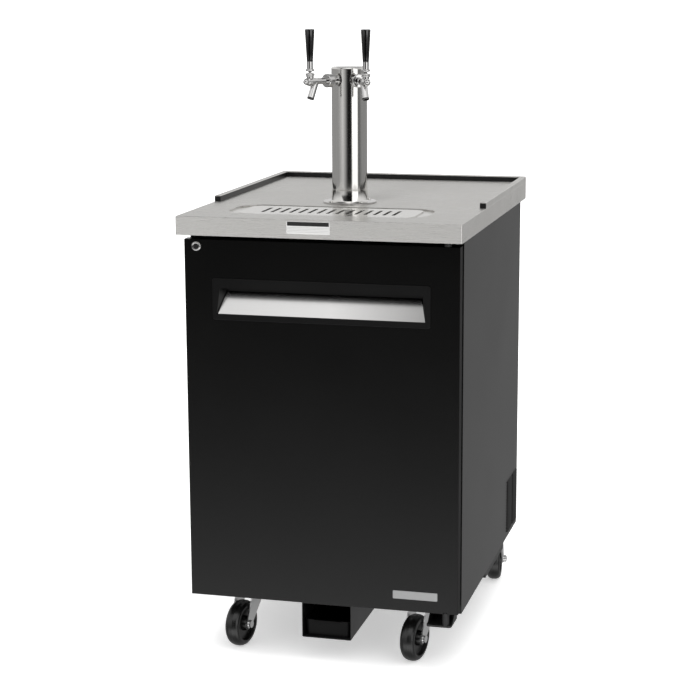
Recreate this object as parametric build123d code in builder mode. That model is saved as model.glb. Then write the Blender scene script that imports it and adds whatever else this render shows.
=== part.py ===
from build123d import *
import os
from math import cos, radians, sin

# A one-door direct-draw keg cooler: an insulated cabinet on four swivel casters, a stainless
# counter with a drain basin, and a two-faucet beer tower.  Millimetres, +Z up, the front faces
# -Y, and the origin is on the floor under the middle of the counter.

os.makedirs("parts", exist_ok=True)

# ------------------------------------------------------------------ driving dimensions
counter_width = 600.0
counter_depth = 781.0
counter_top_z = 950.0
counter_lip = 39.0
sheet = 1.2

front = -counter_depth / 2
cabinet_half = 291.0
cabinet_front = front + 67.0
cabinet_rear = front + 758.0
skirt_bottom = 119.5
pan_bottom = 130.0
cabinet_top = counter_top_z - counter_lip

door_half = 291.0
door_front = front + 27.0
door_bottom = 130.0
door_top = 899.5
door_pan_depth = 24.0
door_sheet = 1.0

inside_half = 241.5
inside_floor = 176.0
inside_ceiling = 862.0
inside_step = 600.0
inside_back_low = 140.0
inside_back_high = 310.0
frame_depth = 12.0
foam_wall = 45.0

tower_x = -7.0
tower_y = front + 300.0
column_radius = 38.1
column_wall = 1.5
column_top = 1227.0
cap_top = 1241.0
flange_radius = 58.0
flange_thickness = 4.0
passage_radius = 30.0
tower_screw_circle = 48.0

basin_x = tower_x
basin_y = front + 147.0
grate_length = 374.0
grate_width = 134.0

faucet_z = 1214.0
faucet_turn = 32.2
lever_reach = 113.0
lever_ball_height = 14.0
handle_bottom = 1255.5
handle_top = 1322.5

wheel_radius = 50.0
wheel_half_width = 16.0
caster_trail = 38.0
axle_radius = 5.0
front_swivel = (193.5, front + 129.0)
rear_swivel = (258.0, front + 633.0)

hinge_x = 264.0
hinge_y = door_front + 7.5
hinge_pin_radius = 4.5
running_gap = 0.06

frame_back = cabinet_front + frame_depth
skin_inner = cabinet_half - sheet
pan_top = pan_bottom + 2.0
door_back = door_front + door_pan_depth
core_top = counter_top_z - sheet
core_bottom = cabinet_top + sheet
rear_inner = cabinet_rear - sheet
bay_front = inside_back_low + sheet + foam_wall
bay_top = inside_step - sheet - foam_wall


def block(x0, x1, y0, y1, z0, z1, mode=Mode.ADD):
    """A box between two opposite corners."""
    with Locations(((x0 + x1) / 2, (y0 + y1) / 2, (z0 + z1) / 2)):
        Box(x1 - x0, y1 - y0, z1 - z0, mode=mode)


def upright(x, y, z0, z1, radius, mode=Mode.ADD):
    """A vertical cylinder between two heights."""
    with Locations((x, y, (z0 + z1) / 2)):
        Cylinder(radius, z1 - z0, mode=mode)


def along_y(x, z, y0, y1, radius, mode=Mode.ADD):
    """A cylinder that runs front to back."""
    with Locations(Location((x, (y0 + y1) / 2, z), (90, 0, 0))):
        Cylinder(radius, y1 - y0, mode=mode)


def along_x(y, z, x0, x1, radius, mode=Mode.ADD):
    """A cylinder that runs left to right."""
    with Locations(Location(((x0 + x1) / 2, y, z), (0, 90, 0))):
        Cylinder(radius, x1 - x0, mode=mode)


# ------------------------------------------------------------------ caster positions
front_trail = (-sin(radians(12.0)), -cos(radians(12.0)))
rear_trail = (-sin(radians(5.6)), cos(radians(5.6)))
casters = {
    "front_left": (-front_swivel[0], front_swivel[1], front_trail),
    "front_right": (front_swivel[0], front_swivel[1], front_trail),
    "rear_left": (-rear_swivel[0], rear_swivel[1], rear_trail),
    "rear_right": (rear_swivel[0], rear_swivel[1], rear_trail),
}
plate_bolt_x = 22.0
plate_bolt_y = 36.0
plate_bolt_radius = 4.0
plate_bottom = 127.0

# ------------------------------------------------------------------ cabinet shell
channel_inner_x = 266.0
channel_bottom = 106.0
channel_front = front + 352.0
channel_back = front + 580.0
channel_wall = 2.5

with BuildPart() as base_pan:
    block(-skin_inner, skin_inner, frame_back, rear_inner, pan_bottom, pan_top)
    for side in (-1, 1):
        middle = side * (channel_inner_x + skin_inner) / 2
        half = (skin_inner - channel_inner_x) / 2
        hollow = half - channel_wall
        floor = channel_bottom + channel_wall
        block(middle - half, middle + half, channel_front, channel_back, channel_bottom, pan_bottom)
        block(
            middle - hollow,
            middle + hollow,
            channel_front,
            channel_back,
            floor,
            pan_bottom,
            mode=Mode.SUBTRACT,
        )
    for swivel_x, swivel_y, trail in casters.values():
        with Locations((swivel_x, swivel_y, pan_bottom)):
            with GridLocations(2 * plate_bolt_x, 2 * plate_bolt_y, 2, 2):
                Cylinder(plate_bolt_radius + 0.2, 10, mode=Mode.SUBTRACT)
base_pan.part.label = "base_pan"
export_step(base_pan.part, "parts/base_pan.step")

louvre_pitch = 7.0
louvre_height = 3.4
louvre_length = 60.0
louvre_count = 18
louvre_bottom = 135.0
louvre_columns = (front + 649.0, front + 720.0)


def louvred_side(outer_x, inner_x):
    """One cabinet side sheet with its two columns of cooling slots."""
    left = min(outer_x, inner_x)
    right = max(outer_x, inner_x)
    block(left, right, cabinet_front, cabinet_rear, skirt_bottom, cabinet_top)
    for column_y in louvre_columns:
        for row in range(louvre_count):
            slot_z = louvre_bottom + row * louvre_pitch
            y0 = column_y - louvre_length / 2
            y1 = column_y + louvre_length / 2
            z0 = slot_z - louvre_height / 2
            z1 = slot_z + louvre_height / 2
            block(left - 1, right + 1, y0, y1, z0, z1, mode=Mode.SUBTRACT)


with BuildPart() as side_panel_left:
    louvred_side(-cabinet_half, -skin_inner)
side_panel_left.part.label = "side_panel_left"
export_step(side_panel_left.part, "parts/side_panel_left.step")

with BuildPart() as side_panel_right:
    louvred_side(cabinet_half, skin_inner)
side_panel_right.part.label = "side_panel_right"
export_step(side_panel_right.part, "parts/side_panel_right.step")

rear_slot_length = 90.0
rear_slot_height = 5.0
cord_x, cord_z, cord_radius = -230.0, 165.0, 8.0
gas_x, gas_z, gas_radius = 220.0, 720.0, 10.0

with BuildPart() as rear_panel:
    block(-skin_inner, skin_inner, rear_inner, cabinet_rear, skirt_bottom, cabinet_top)
    with Locations((0, cabinet_rear, 345)):
        for column_x in (-165, -55, 55, 165):
            for row in range(-10, 11):
                with Locations((column_x, 0, row * 12)):
                    Box(rear_slot_length, 5, rear_slot_height, mode=Mode.SUBTRACT)
    along_y(cord_x, cord_z, rear_inner - 1, cabinet_rear + 1, cord_radius, Mode.SUBTRACT)
    along_y(gas_x, gas_z, rear_inner - 1, cabinet_rear + 1, gas_radius, Mode.SUBTRACT)
rear_panel.part.label = "rear_panel"
export_step(rear_panel.part, "parts/rear_panel.step")

# The face frame carries a hooked strike for the lock's cam at its top left corner.
lock_x, lock_z = -264.5, 885.0
strike_half = 12.0
strike_sheet = 1.5
strike_back = door_back + 1.0

with BuildPart() as front_frame:
    block(-skin_inner, skin_inner, cabinet_front, frame_back, skirt_bottom, cabinet_top)
    block(
        -inside_half,
        inside_half,
        cabinet_front - 1,
        frame_back + 1,
        inside_floor,
        inside_ceiling,
        mode=Mode.SUBTRACT,
    )
    strike_x0 = lock_x - strike_half
    strike_x1 = lock_x + strike_half
    strike_z = cabinet_top - strike_sheet
    strike_y = strike_back - strike_sheet
    block(strike_x0, strike_x1, strike_y, cabinet_front, strike_z, cabinet_top)
    block(strike_x0, strike_x1, strike_y, strike_back, cabinet_top - 6, strike_z)
front_frame.part.label = "front_frame"
export_step(front_frame.part, "parts/front_frame.step")


def stepped_outline(grow):
    """Side view of the cold space, which is deeper above the machine bay."""
    low_back = inside_back_low + grow
    high_back = inside_back_high + grow
    return [
        (frame_back, inside_floor - grow),
        (low_back, inside_floor - grow),
        (low_back, inside_step - grow),
        (high_back, inside_step - grow),
        (high_back, inside_ceiling + grow),
        (frame_back, inside_ceiling + grow),
    ]


spout_x = basin_x - 140.0
spout_radius = 9.5
spout_end_radius = 9.0
spout_end_top = 860.0
spout_bottom = 836.0
spout_clear = spout_radius + 0.8
line_y = 276.0
suction_x = -60.0
liquid_x = 60.0
line_clear = 7.0

seam = 0.1
liner_x = inside_half - seam
wall_x = inside_half + sheet
low_back_out = inside_back_low + sheet
high_back_out = inside_back_high + sheet
step_low = inside_step - sheet
liner_floor = inside_floor - sheet
liner_top = inside_ceiling + sheet

# Flat sheets butt at hairline seams, so the liner is a set of plain panels.
with BuildPart() as inner_liner:
    block(-liner_x, liner_x, frame_back, inside_back_low - seam, liner_floor, inside_floor)
    block(-liner_x, liner_x, inside_back_low, low_back_out, liner_floor, step_low - seam)
    block(-liner_x, liner_x, inside_back_low, inside_back_high - seam, step_low, inside_step)
    block(-liner_x, liner_x, inside_back_high, high_back_out, step_low, liner_top)
    block(-liner_x, liner_x, frame_back, inside_back_high - seam, inside_ceiling, liner_top)
    for wall_0, wall_1 in ((-wall_x, -inside_half), (inside_half, wall_x)):
        block(wall_0, wall_1, frame_back, low_back_out, liner_floor, step_low - seam)
        block(wall_0, wall_1, frame_back, high_back_out, step_low, liner_top)
    ceiling_low = inside_ceiling - 1
    ceiling_high = liner_top + 1
    upright(tower_x, tower_y, ceiling_low, ceiling_high, passage_radius, Mode.SUBTRACT)
    upright(spout_x, basin_y, ceiling_low, ceiling_high, spout_clear, Mode.SUBTRACT)
    along_y(gas_x, gas_z, inside_back_high - 1, inside_back_high + 3, gas_radius, Mode.SUBTRACT)
    for line_x in (suction_x, liquid_x):
        upright(line_x, line_y, inside_step - 3, inside_step + 1, line_clear, Mode.SUBTRACT)
inner_liner.part.label = "inner_liner"
export_step(inner_liner.part, "parts/inner_liner.step")

# The counter is folded like a shallow box, and its underside is open over the cabinet.
opening_half = 276.8
opening_front = front + 80.0
opening_rear = 360.0
pocket_half_x = 228.0
pocket_half_y = 89.0
pocket_bottom = 917.0
tower_screw_x = tower_screw_circle * cos(radians(45))
tower_screw_radius = 2.5

with BuildPart() as cabinet_foam:
    block(-skin_inner, skin_inner, frame_back, rear_inner, pan_top, cabinet_top)
    block(-opening_half, opening_half, opening_front, opening_rear, cabinet_top, core_bottom)
    block(
        -counter_width / 2 + sheet,
        counter_width / 2 - sheet,
        front + sheet,
        -front - sheet,
        core_bottom,
        core_top,
    )
    with BuildSketch(Plane.YZ):
        with BuildLine():
            Polyline(*stepped_outline(sheet), close=True)
        make_face()
    extrude(amount=inside_half + sheet, both=True, mode=Mode.SUBTRACT)
    block(
        -skin_inner - 1,
        skin_inner + 1,
        bay_front,
        rear_inner + 1,
        pan_top - 1,
        bay_top,
        mode=Mode.SUBTRACT,
    )
    block(
        basin_x - pocket_half_x,
        basin_x + pocket_half_x,
        basin_y - pocket_half_y,
        basin_y + pocket_half_y,
        pocket_bottom,
        core_top + 1,
        mode=Mode.SUBTRACT,
    )
    upright(tower_x, tower_y, inside_ceiling, core_top + 1, passage_radius, Mode.SUBTRACT)
    upright(spout_x, basin_y, inside_ceiling, pocket_bottom + 1, spout_clear, Mode.SUBTRACT)
    along_y(gas_x, gas_z, inside_back_high, rear_inner + 1, gas_radius, Mode.SUBTRACT)
    for line_x in (suction_x, liquid_x):
        upright(line_x, line_y, bay_top - 1, inside_step, line_clear, Mode.SUBTRACT)
    with Locations((tower_x, tower_y, core_top)):
        with GridLocations(2 * tower_screw_x, 2 * tower_screw_x, 2, 2):
            Cylinder(tower_screw_radius + 0.1, 40, mode=Mode.SUBTRACT)
cabinet_foam.part.label = "cabinet_foam"
export_step(cabinet_foam.part, "parts/cabinet_foam.step")

keg_floor_top = inside_floor + 5.0
rib_count = 14

with BuildPart() as keg_floor:
    block(
        -inside_half + 3,
        inside_half - 3,
        frame_back + 6,
        inside_back_low - 6,
        inside_floor,
        keg_floor_top - 2,
    )
    with Locations((0, (frame_back + inside_back_low) / 2, keg_floor_top - 1)):
        with GridLocations(34, 0, rib_count, 1):
            Box(8, inside_back_low - frame_back - 40, 2)
keg_floor.part.label = "keg_floor"
export_step(keg_floor.part, "parts/keg_floor.step")

# ------------------------------------------------------------------ counter
basin_opening_x = 428.0
basin_opening_y = 150.0
label_x = -16.7
label_width = 90.6
label_z0 = 920.5
label_z1 = 946.0
label_sheet = 0.3

with BuildPart() as counter_top:
    block(
        -counter_width / 2,
        counter_width / 2,
        front,
        -front,
        cabinet_top,
        counter_top_z,
    )
    fillet(counter_top.edges().filter_by(Axis.Z), radius=3)
    fillet(counter_top.edges().group_by(Axis.Z)[-1], radius=1.1)
    block(
        -counter_width / 2 + sheet,
        counter_width / 2 - sheet,
        front + sheet,
        -front - sheet,
        core_bottom,
        core_top,
        mode=Mode.SUBTRACT,
    )
    block(
        -opening_half,
        opening_half,
        opening_front,
        opening_rear,
        cabinet_top - 1,
        core_bottom + 1,
        mode=Mode.SUBTRACT,
    )
    with BuildSketch(Plane.XY.offset(core_top - 1)):
        with Locations((basin_x, basin_y)):
            RectangleRounded(basin_opening_x, basin_opening_y, 50)
    extrude(amount=sheet + 2, mode=Mode.SUBTRACT)
    upright(tower_x, tower_y, core_top - 1, counter_top_z + 1, passage_radius, Mode.SUBTRACT)
    with Locations((tower_x, tower_y, core_top)):
        with GridLocations(2 * tower_screw_x, 2 * tower_screw_x, 2, 2):
            Cylinder(tower_screw_radius + 0.1, 10, mode=Mode.SUBTRACT)
    block(
        label_x - label_width / 2,
        label_x + label_width / 2,
        front - 1,
        front + label_sheet,
        label_z0,
        label_z1,
        mode=Mode.SUBTRACT,
    )
counter_top.part.label = "counter_top"
export_step(counter_top.part, "parts/counter_top.step")

with BuildPart() as counter_label:
    block(
        label_x - label_width / 2,
        label_x + label_width / 2,
        front,
        front + label_sheet,
        label_z0,
        label_z1,
    )
counter_label.part.label = "counter_label"
export_step(counter_label.part, "parts/counter_label.step")

rail_width = 13.3
rail_height = 13.0
rail_front = front + 256.0

with BuildPart() as counter_rail:
    block(
        -counter_width / 2,
        counter_width / 2,
        rail_front,
        -front,
        counter_top_z,
        counter_top_z + rail_height,
    )
    fillet(counter_rail.edges().filter_by(Axis.Z).group_by(Axis.Y)[-1], radius=3)
    block(
        -counter_width / 2 + rail_width,
        counter_width / 2 - rail_width,
        rail_front - 1,
        -front - rail_width,
        counter_top_z - 1,
        counter_top_z + rail_height + 1,
        mode=Mode.SUBTRACT,
    )
    fillet(counter_rail.edges().group_by(Axis.Z)[-1], radius=2.5)
counter_rail.part.label = "counter_rail"
export_step(counter_rail.part, "parts/counter_rail.step")

# The basin floor slopes down to the drain spout at the left.
ledge_z = 946.5
basin_plate_bottom = 945.0
bowl_half_x = 170.0
bowl_half_y = 59.0
bowl_wall = 1.5
bowl_corner = 20.0
bowl_flat_end = basin_x - 111.0
bowl_low = 920.0
bowl_high = 942.0


def bowl_side_view(inset, top):
    """Side view of the bowl, inset by the wall thickness where it is the hollow."""
    left = basin_x - bowl_half_x + inset
    right = basin_x + bowl_half_x - inset
    drop = inset - bowl_wall
    return [
        (left, bowl_low + drop),
        (bowl_flat_end, bowl_low + drop),
        (right, bowl_high + drop),
        (right, top),
        (left, top),
    ]


def bowl_solid(inset, top):
    """The bowl's outside, or its hollow when inset by one wall."""
    with BuildPart(mode=Mode.PRIVATE) as bowl:
        with BuildSketch(Plane.XZ.offset(-basin_y)) as side_view:
            with BuildLine():
                Polyline(*bowl_side_view(inset, top), close=True)
            make_face()
        extrude(side_view.sketch, amount=bowl_half_y - inset, both=True)
        fillet(bowl.edges().filter_by(Axis.Z), radius=bowl_corner - inset)
    return bowl.part


with BuildPart() as drain_basin:
    with BuildSketch(Plane.XY.offset(basin_plate_bottom)):
        with Locations((basin_x, basin_y)):
            RectangleRounded(basin_opening_x + 16, basin_opening_y + 16, 58)
    extrude(amount=core_top - basin_plate_bottom)
    with BuildSketch(Plane.XY.offset(ledge_z)):
        with Locations((basin_x, basin_y)):
            RectangleRounded(basin_opening_x, basin_opening_y, 50)
    extrude(amount=10, mode=Mode.SUBTRACT)
    add(bowl_solid(0, basin_plate_bottom + 0.5))
    upright(spout_x, basin_y, spout_bottom, spout_end_top, spout_end_radius)
    upright(spout_x, basin_y, spout_end_top, bowl_low - 0.5, spout_radius)
    add(bowl_solid(bowl_wall, ledge_z + 5), mode=Mode.SUBTRACT)
    spout_bore = spout_end_radius - 1.5
    upright(spout_x, basin_y, spout_bottom - 1, bowl_low + 1, spout_bore, Mode.SUBTRACT)
drain_basin.part.label = "drain_basin"
export_step(drain_basin.part, "parts/drain_basin.step")

grate_top = 949.0
slot_count = 15
slot_pitch = 20.0
slot_length = 72.0
slot_width = 7.0

with BuildPart() as drain_grate:
    with BuildSketch(Plane.XY.offset(ledge_z)):
        with Locations((basin_x, basin_y)):
            RectangleRounded(grate_length, grate_width, 25)
            with GridLocations(slot_pitch, 0, slot_count, 1):
                SlotOverall(slot_length, slot_width, rotation=90, mode=Mode.SUBTRACT)
    extrude(amount=grate_top - ledge_z)
drain_grate.part.label = "drain_grate"
export_step(drain_grate.part, "parts/drain_grate.step")

# ------------------------------------------------------------------ beer tower
flange_top = counter_top_z + flange_thickness

with BuildPart() as tower_flange:
    upright(tower_x, tower_y, counter_top_z, flange_top, flange_radius)
    chamfer(tower_flange.edges().group_by(Axis.Z)[-1], length=1)
    upright(tower_x, tower_y, counter_top_z - 1, flange_top + 1, passage_radius, Mode.SUBTRACT)
    with Locations((tower_x, tower_y, flange_top)):
        with GridLocations(2 * tower_screw_x, 2 * tower_screw_x, 2, 2):
            Cylinder(tower_screw_radius + 0.1, 20, mode=Mode.SUBTRACT)
tower_flange.part.label = "tower_flange"
export_step(tower_flange.part, "parts/tower_flange.step")

with BuildPart() as tower_screws:
    with Locations((tower_x, tower_y, 0)):
        with GridLocations(2 * tower_screw_x, 2 * tower_screw_x, 2, 2):
            with Locations((0, 0, (930 + flange_top) / 2)):
                Cylinder(tower_screw_radius, flange_top - 930)
            with Locations((0, 0, flange_top + 1.3)):
                Cylinder(4.5, 2.6)
    fillet(tower_screws.edges().group_by(Axis.Z)[-1], radius=1.2)
    with Locations((tower_x, tower_y, flange_top + 2.6)):
        with GridLocations(2 * tower_screw_x, 2 * tower_screw_x, 2, 2):
            Box(4.4, 1, 2, mode=Mode.SUBTRACT)
            Box(1, 4.4, 2, mode=Mode.SUBTRACT)
tower_screws.part.label = "tower_screws"
export_step(tower_screws.part, "parts/tower_screws.step")


def faucet_direction(side):
    """Unit vector from the tower axis along one faucet."""
    return Vector(side * sin(radians(faucet_turn)), -cos(radians(faucet_turn)), 0)


def faucet_point(side, reach, height=0.0):
    """A point in one faucet's own plane: out from the tower axis, and up."""
    return Vector(tower_x, tower_y, faucet_z + height) + faucet_direction(side) * reach


def faucet_plane(side):
    """The upright plane of one faucet: local x runs outward and local y runs up."""
    outward = faucet_direction(side)
    return Plane(
        origin=faucet_point(side, 0),
        x_dir=outward,
        z_dir=outward.cross(Vector(0, 0, 1)),
    )


def along_faucet(side, reach0, reach1, radius, mode=Mode.ADD):
    """A cylinder on the barrel axis of one faucet."""
    middle = faucet_point(side, (reach0 + reach1) / 2)
    with Locations(Plane(origin=middle, z_dir=faucet_direction(side)).location):
        Cylinder(radius, reach1 - reach0, mode=mode)


def lever_stack(side, height0, height1, radius, mode=Mode.ADD):
    """A cylinder on the upright lever axis of one faucet."""
    with Locations(faucet_point(side, lever_reach, (height0 + height1) / 2)):
        Cylinder(radius, height1 - height0, mode=mode)


faucet_sides = {"left": -1, "right": 1}
shank_hole = 8.1

with BuildPart() as tower_column:
    upright(tower_x, tower_y, flange_top, column_top, column_radius)
    upright(
        tower_x,
        tower_y,
        flange_top - 1,
        column_top + 1,
        column_radius - column_wall,
        Mode.SUBTRACT,
    )
    for side in faucet_sides.values():
        along_faucet(side, 20, 50, shank_hole, Mode.SUBTRACT)
tower_column.part.label = "tower_column"
export_step(tower_column.part, "parts/tower_column.step")

with BuildPart() as tower_cap:
    upright(tower_x, tower_y, column_top, cap_top, column_radius + 0.5)
    fillet(tower_cap.edges().group_by(Axis.Z)[-1], radius=4)
    upright(tower_x, tower_y, column_top - 2.4, column_top, column_radius - column_wall - 0.2)
    upright(tower_x, tower_y, column_top - 3, column_top + 9, 33, Mode.SUBTRACT)
tower_cap.part.label = "tower_cap"
export_step(tower_cap.part, "parts/tower_cap.step")

shank_radius = 7.95
shank_end = 66.5
beer_bore = 4.6

with BuildPart() as faucet_shanks:
    for side in faucet_sides.values():
        along_faucet(side, 14, 30, 5.5)
        along_faucet(side, 30, shank_end, shank_radius)
        along_faucet(side, 29, 35, 10)
        along_faucet(side, 38.4, 41.5, 11)
        along_faucet(side, 13, shank_end + 1, beer_bore, Mode.SUBTRACT)
faucet_shanks.part.label = "faucet_shanks"
export_step(faucet_shanks.part, "parts/faucet_shanks.step")

collar_radius = 14.5

with BuildPart() as faucet_collars:
    for side in faucet_sides.values():
        along_faucet(side, 53, 68, collar_radius)
    fillet(faucet_collars.edges().filter_by(GeomType.CIRCLE), radius=2)
    for side in faucet_sides.values():
        along_faucet(side, 52, shank_end, shank_radius + 0.05, Mode.SUBTRACT)
        along_faucet(side, shank_end - 1, 69, 7.15, Mode.SUBTRACT)
        barrel = Plane(origin=faucet_point(side, 60.5), z_dir=faucet_direction(side))
        with Locations(barrel.location):
            with PolarLocations(collar_radius, 4):
                Cylinder(2, 7, rotation=(0, 90, 0), mode=Mode.SUBTRACT)
faucet_collars.part.label = "faucet_collars"
export_step(faucet_collars.part, "parts/faucet_collars.step")

barrel_profile = [
    (shank_end, 7.0),
    (72.0, 7.0),
    (74.0, 7.6),
    (84.0, 6.6),
    (96.0, 7.2),
    (104.0, 9.0),
    (lever_reach, 10.0),
    (119.0, 8.6),
    (121.0, 7.2),
    (122.5, 7.2),
]
spout_start = (99.0, -4.0)
spout_end = (112.5, -36.5)
spout_run = Vector(spout_end[0] - spout_start[0], spout_end[1] - spout_start[1], 0)
spout_slope = spout_run.normalized()
faucet_spout_radius = 7.4
faucet_spout_bore = 5.6
outlet_radius = 6.2
outlet_depth = 10.0
barrel_bore_end = 120.5
neck_top = 12.5


def spout_cylinder(side, start, end, radius, mode=Mode.ADD):
    """A cylinder on the slanted spout axis, between two distances from its root."""
    middle = (start + end) / 2
    reach = spout_start[0] + spout_slope.X * middle
    height = spout_start[1] + spout_slope.Y * middle
    run = faucet_direction(side) * spout_slope.X + Vector(0, 0, spout_slope.Y)
    with Locations(Plane(origin=faucet_point(side, reach, height), z_dir=run).location):
        Cylinder(radius, end - start, mode=mode)


def faucet_body(side):
    """Barrel, lever neck and spout of one faucet, with its beer way."""
    plane = faucet_plane(side)
    with BuildPart(mode=Mode.PRIVATE) as body:
        with BuildSketch(plane) as outline:
            with BuildLine():
                Polyline((shank_end, 0), *barrel_profile, (122.5, 0), close=True)
            make_face()
        revolve(outline.sketch, axis=Axis(faucet_point(side, 0), faucet_direction(side)))
        with Locations(faucet_point(side, 124)):
            Sphere(6.4)
        lever_stack(side, 0, neck_top, 7.2)
        with Locations(faucet_point(side, *spout_start)):
            Sphere(faucet_spout_radius)
        spout_cylinder(side, 0, spout_run.length, faucet_spout_radius)
        along_faucet(side, shank_end - 1, barrel_bore_end, beer_bore, Mode.SUBTRACT)
        lever_stack(side, 8.2, neck_top + 1, 5.9, Mode.SUBTRACT)
        with BuildSketch(plane) as lever_slot:
            with BuildLine():
                Polyline(
                    (lever_reach + 2.6, 10),
                    (lever_reach - 5.2, 10),
                    (lever_reach - 8.8, 2),
                    (lever_reach + 2.6, 2),
                    close=True,
                )
            make_face()
        extrude(lever_slot.sketch, amount=2.4, both=True, mode=Mode.SUBTRACT)
        spout_cylinder(side, 2, spout_run.length + 1, faucet_spout_bore, Mode.SUBTRACT)
        spout_cylinder(
            side,
            spout_run.length - outlet_depth,
            spout_run.length + 1,
            outlet_radius,
            Mode.SUBTRACT,
        )
    return body.part


with BuildPart() as faucet_body_right:
    add(faucet_body(1))
faucet_body_right.part.label = "faucet_body_right"
export_step(faucet_body_right.part, "parts/faucet_body_right.step")

with BuildPart() as faucet_body_left:
    mirror(faucet_body_right.part, about=Plane.YZ.offset(tower_x))
faucet_body_left.part.label = "faucet_body_left"
export_step(faucet_body_left.part, "parts/faucet_body_left.step")

with BuildPart() as faucet_bonnets:
    for side in faucet_sides.values():
        lever_stack(side, 10.4, 12.6, 9.0)
        lever_stack(side, 12.6, 17.5, 10.5)
        with Locations(faucet_point(side, lever_reach, 15)):
            with PolarLocations(10.9, 24):
                Cylinder(0.9, 6, mode=Mode.SUBTRACT)
        lever_stack(side, 10, 12.6, 7.3, Mode.SUBTRACT)
        lever_stack(side, 10, 18, 6.3, Mode.SUBTRACT)
faucet_bonnets.part.label = "faucet_bonnets"
export_step(faucet_bonnets.part, "parts/faucet_bonnets.step")

lever_ball_radius = 5.6
lever_profile = [
    (0, 14),
    (3.0, 14),
    (3.0, 20.4),
    (4.2, 21.0),
    (8.5, 25.0),
    (8.5, 26.5),
    (6.6, 26.5),
    (6.6, 41.5),
    (4.7, 41.5),
    (4.7, 60.0),
    (0, 60.0),
]


def faucet_lever(side):
    """Ball, finger, cone and stud of one faucet's lever."""
    base = faucet_point(side, lever_reach)
    plane = Plane(origin=base, x_dir=(1, 0, 0), z_dir=(0, -1, 0))
    with BuildPart(mode=Mode.PRIVATE) as lever:
        with BuildSketch(plane) as outline:
            with BuildLine():
                Polyline(*lever_profile, close=True)
            make_face()
        revolve(outline.sketch, axis=Axis(base, (0, 0, 1)))
        with Locations(faucet_point(side, lever_reach, lever_ball_height)):
            Sphere(lever_ball_radius)
        lever_stack(side, -1.8, lever_ball_height, 1.8)
    return lever.part


with BuildPart() as faucet_lever_left:
    add(faucet_lever(-1))
faucet_lever_left.part.label = "faucet_lever_left"
export_step(faucet_lever_left.part, "parts/faucet_lever_left.step")

with BuildPart() as faucet_lever_right:
    add(faucet_lever(1))
faucet_lever_right.part.label = "faucet_lever_right"
export_step(faucet_lever_right.part, "parts/faucet_lever_right.step")

handle_narrow = 6.6
handle_wide = 10.2
flute_count = 8


def tap_handle(side):
    """A fluted grip that widens upward."""
    height = handle_top - handle_bottom
    base = faucet_point(side, lever_reach)
    middle = (base.X, base.Y, (handle_bottom + handle_top) / 2)
    slope = Vector(height, handle_wide - handle_narrow, 0)
    tilt = slope.get_signed_angle(Vector(1, 0, 0))
    with BuildPart(mode=Mode.PRIVATE) as grip:
        with Locations(middle):
            Cone(handle_narrow, handle_wide, height)
        fillet(grip.edges().group_by(Axis.Z)[-1], radius=3)
        with Locations(middle):
            with PolarLocations((handle_narrow + handle_wide) / 2 + 1.4, flute_count):
                Cylinder(2.3, height + 10, rotation=(0, abs(tilt), 0), mode=Mode.SUBTRACT)
        upright(base.X, base.Y, handle_bottom - 1, handle_bottom + 19.5, 4.75, Mode.SUBTRACT)
    return grip.part


with BuildPart() as tap_handle_left:
    add(tap_handle(-1))
tap_handle_left.part.label = "tap_handle_left"
export_step(tap_handle_left.part, "parts/tap_handle_left.step")

with BuildPart() as tap_handle_right:
    add(tap_handle(1))
tap_handle_right.part.label = "tap_handle_right"
export_step(tap_handle_right.part, "parts/tap_handle_right.step")

valve_radius = 4.3


def valve_shaft(side):
    """Sliding beer valve with a notch for the lever's finger."""
    with BuildPart(mode=Mode.PRIVATE) as shaft:
        along_faucet(side, 73, 76.5, valve_radius)
        along_faucet(side, 76, 107.5, 2.0)
        along_faucet(side, 107, 120.2, valve_radius)
        with BuildSketch(faucet_plane(side)) as notch:
            with BuildLine():
                Polyline(
                    (lever_reach - 2.5, -2.2),
                    (lever_reach + 4.4, -2.2),
                    (lever_reach + 4.4, 6),
                    (lever_reach - 2.5, 6),
                    close=True,
                )
            make_face()
        extrude(notch.sketch, amount=6, both=True, mode=Mode.SUBTRACT)
    return shaft.part


with BuildPart() as valve_shaft_left:
    add(valve_shaft(-1))
valve_shaft_left.part.label = "valve_shaft_left"
export_step(valve_shaft_left.part, "parts/valve_shaft_left.step")

with BuildPart() as valve_shaft_right:
    add(valve_shaft(1))
valve_shaft_right.part.label = "valve_shaft_right"
export_step(valve_shaft_right.part, "parts/valve_shaft_right.step")

# ------------------------------------------------------------------ cold side
cover_half = 200.0
cover_front = 150.0
cover_bottom = 640.0
cover_top = 850.0
cover_sheet = 1.5
cold_fan_z = 745.0
knob_x = 165.0
knob_z = 668.0
knob_stem = 3.0

with BuildPart() as evaporator_cover:
    block(-cover_half, cover_half, cover_front, inside_back_high, cover_bottom, cover_top)
    block(
        -cover_half + cover_sheet,
        cover_half - cover_sheet,
        cover_front + cover_sheet,
        inside_back_high + 1,
        cover_bottom + cover_sheet,
        cover_top - cover_sheet,
        mode=Mode.SUBTRACT,
    )
    with BuildSketch(Plane.XZ.offset(-cover_front - 3)):
        with Locations((0, cold_fan_z)):
            Circle(60)
            Circle(14, mode=Mode.SUBTRACT)
            with GridLocations(0, 12, 1, 11):
                Rectangle(124, 4, mode=Mode.SUBTRACT)
            Rectangle(5, 124, mode=Mode.SUBTRACT)
    extrude(amount=6, mode=Mode.SUBTRACT)
    with Locations((0, cover_front + 45, cover_bottom)):
        with GridLocations(24, 0, 13, 1):
            Box(10, 60, 6, mode=Mode.SUBTRACT)
    for line_x in (suction_x, liquid_x):
        upright(line_x, line_y, cover_bottom - 1, cover_bottom + 3, line_clear, Mode.SUBTRACT)
    along_y(
        knob_x,
        knob_z,
        cover_front - 1,
        cover_front + 3,
        knob_stem + running_gap,
        Mode.SUBTRACT,
    )
evaporator_cover.part.label = "evaporator_cover"
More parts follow.
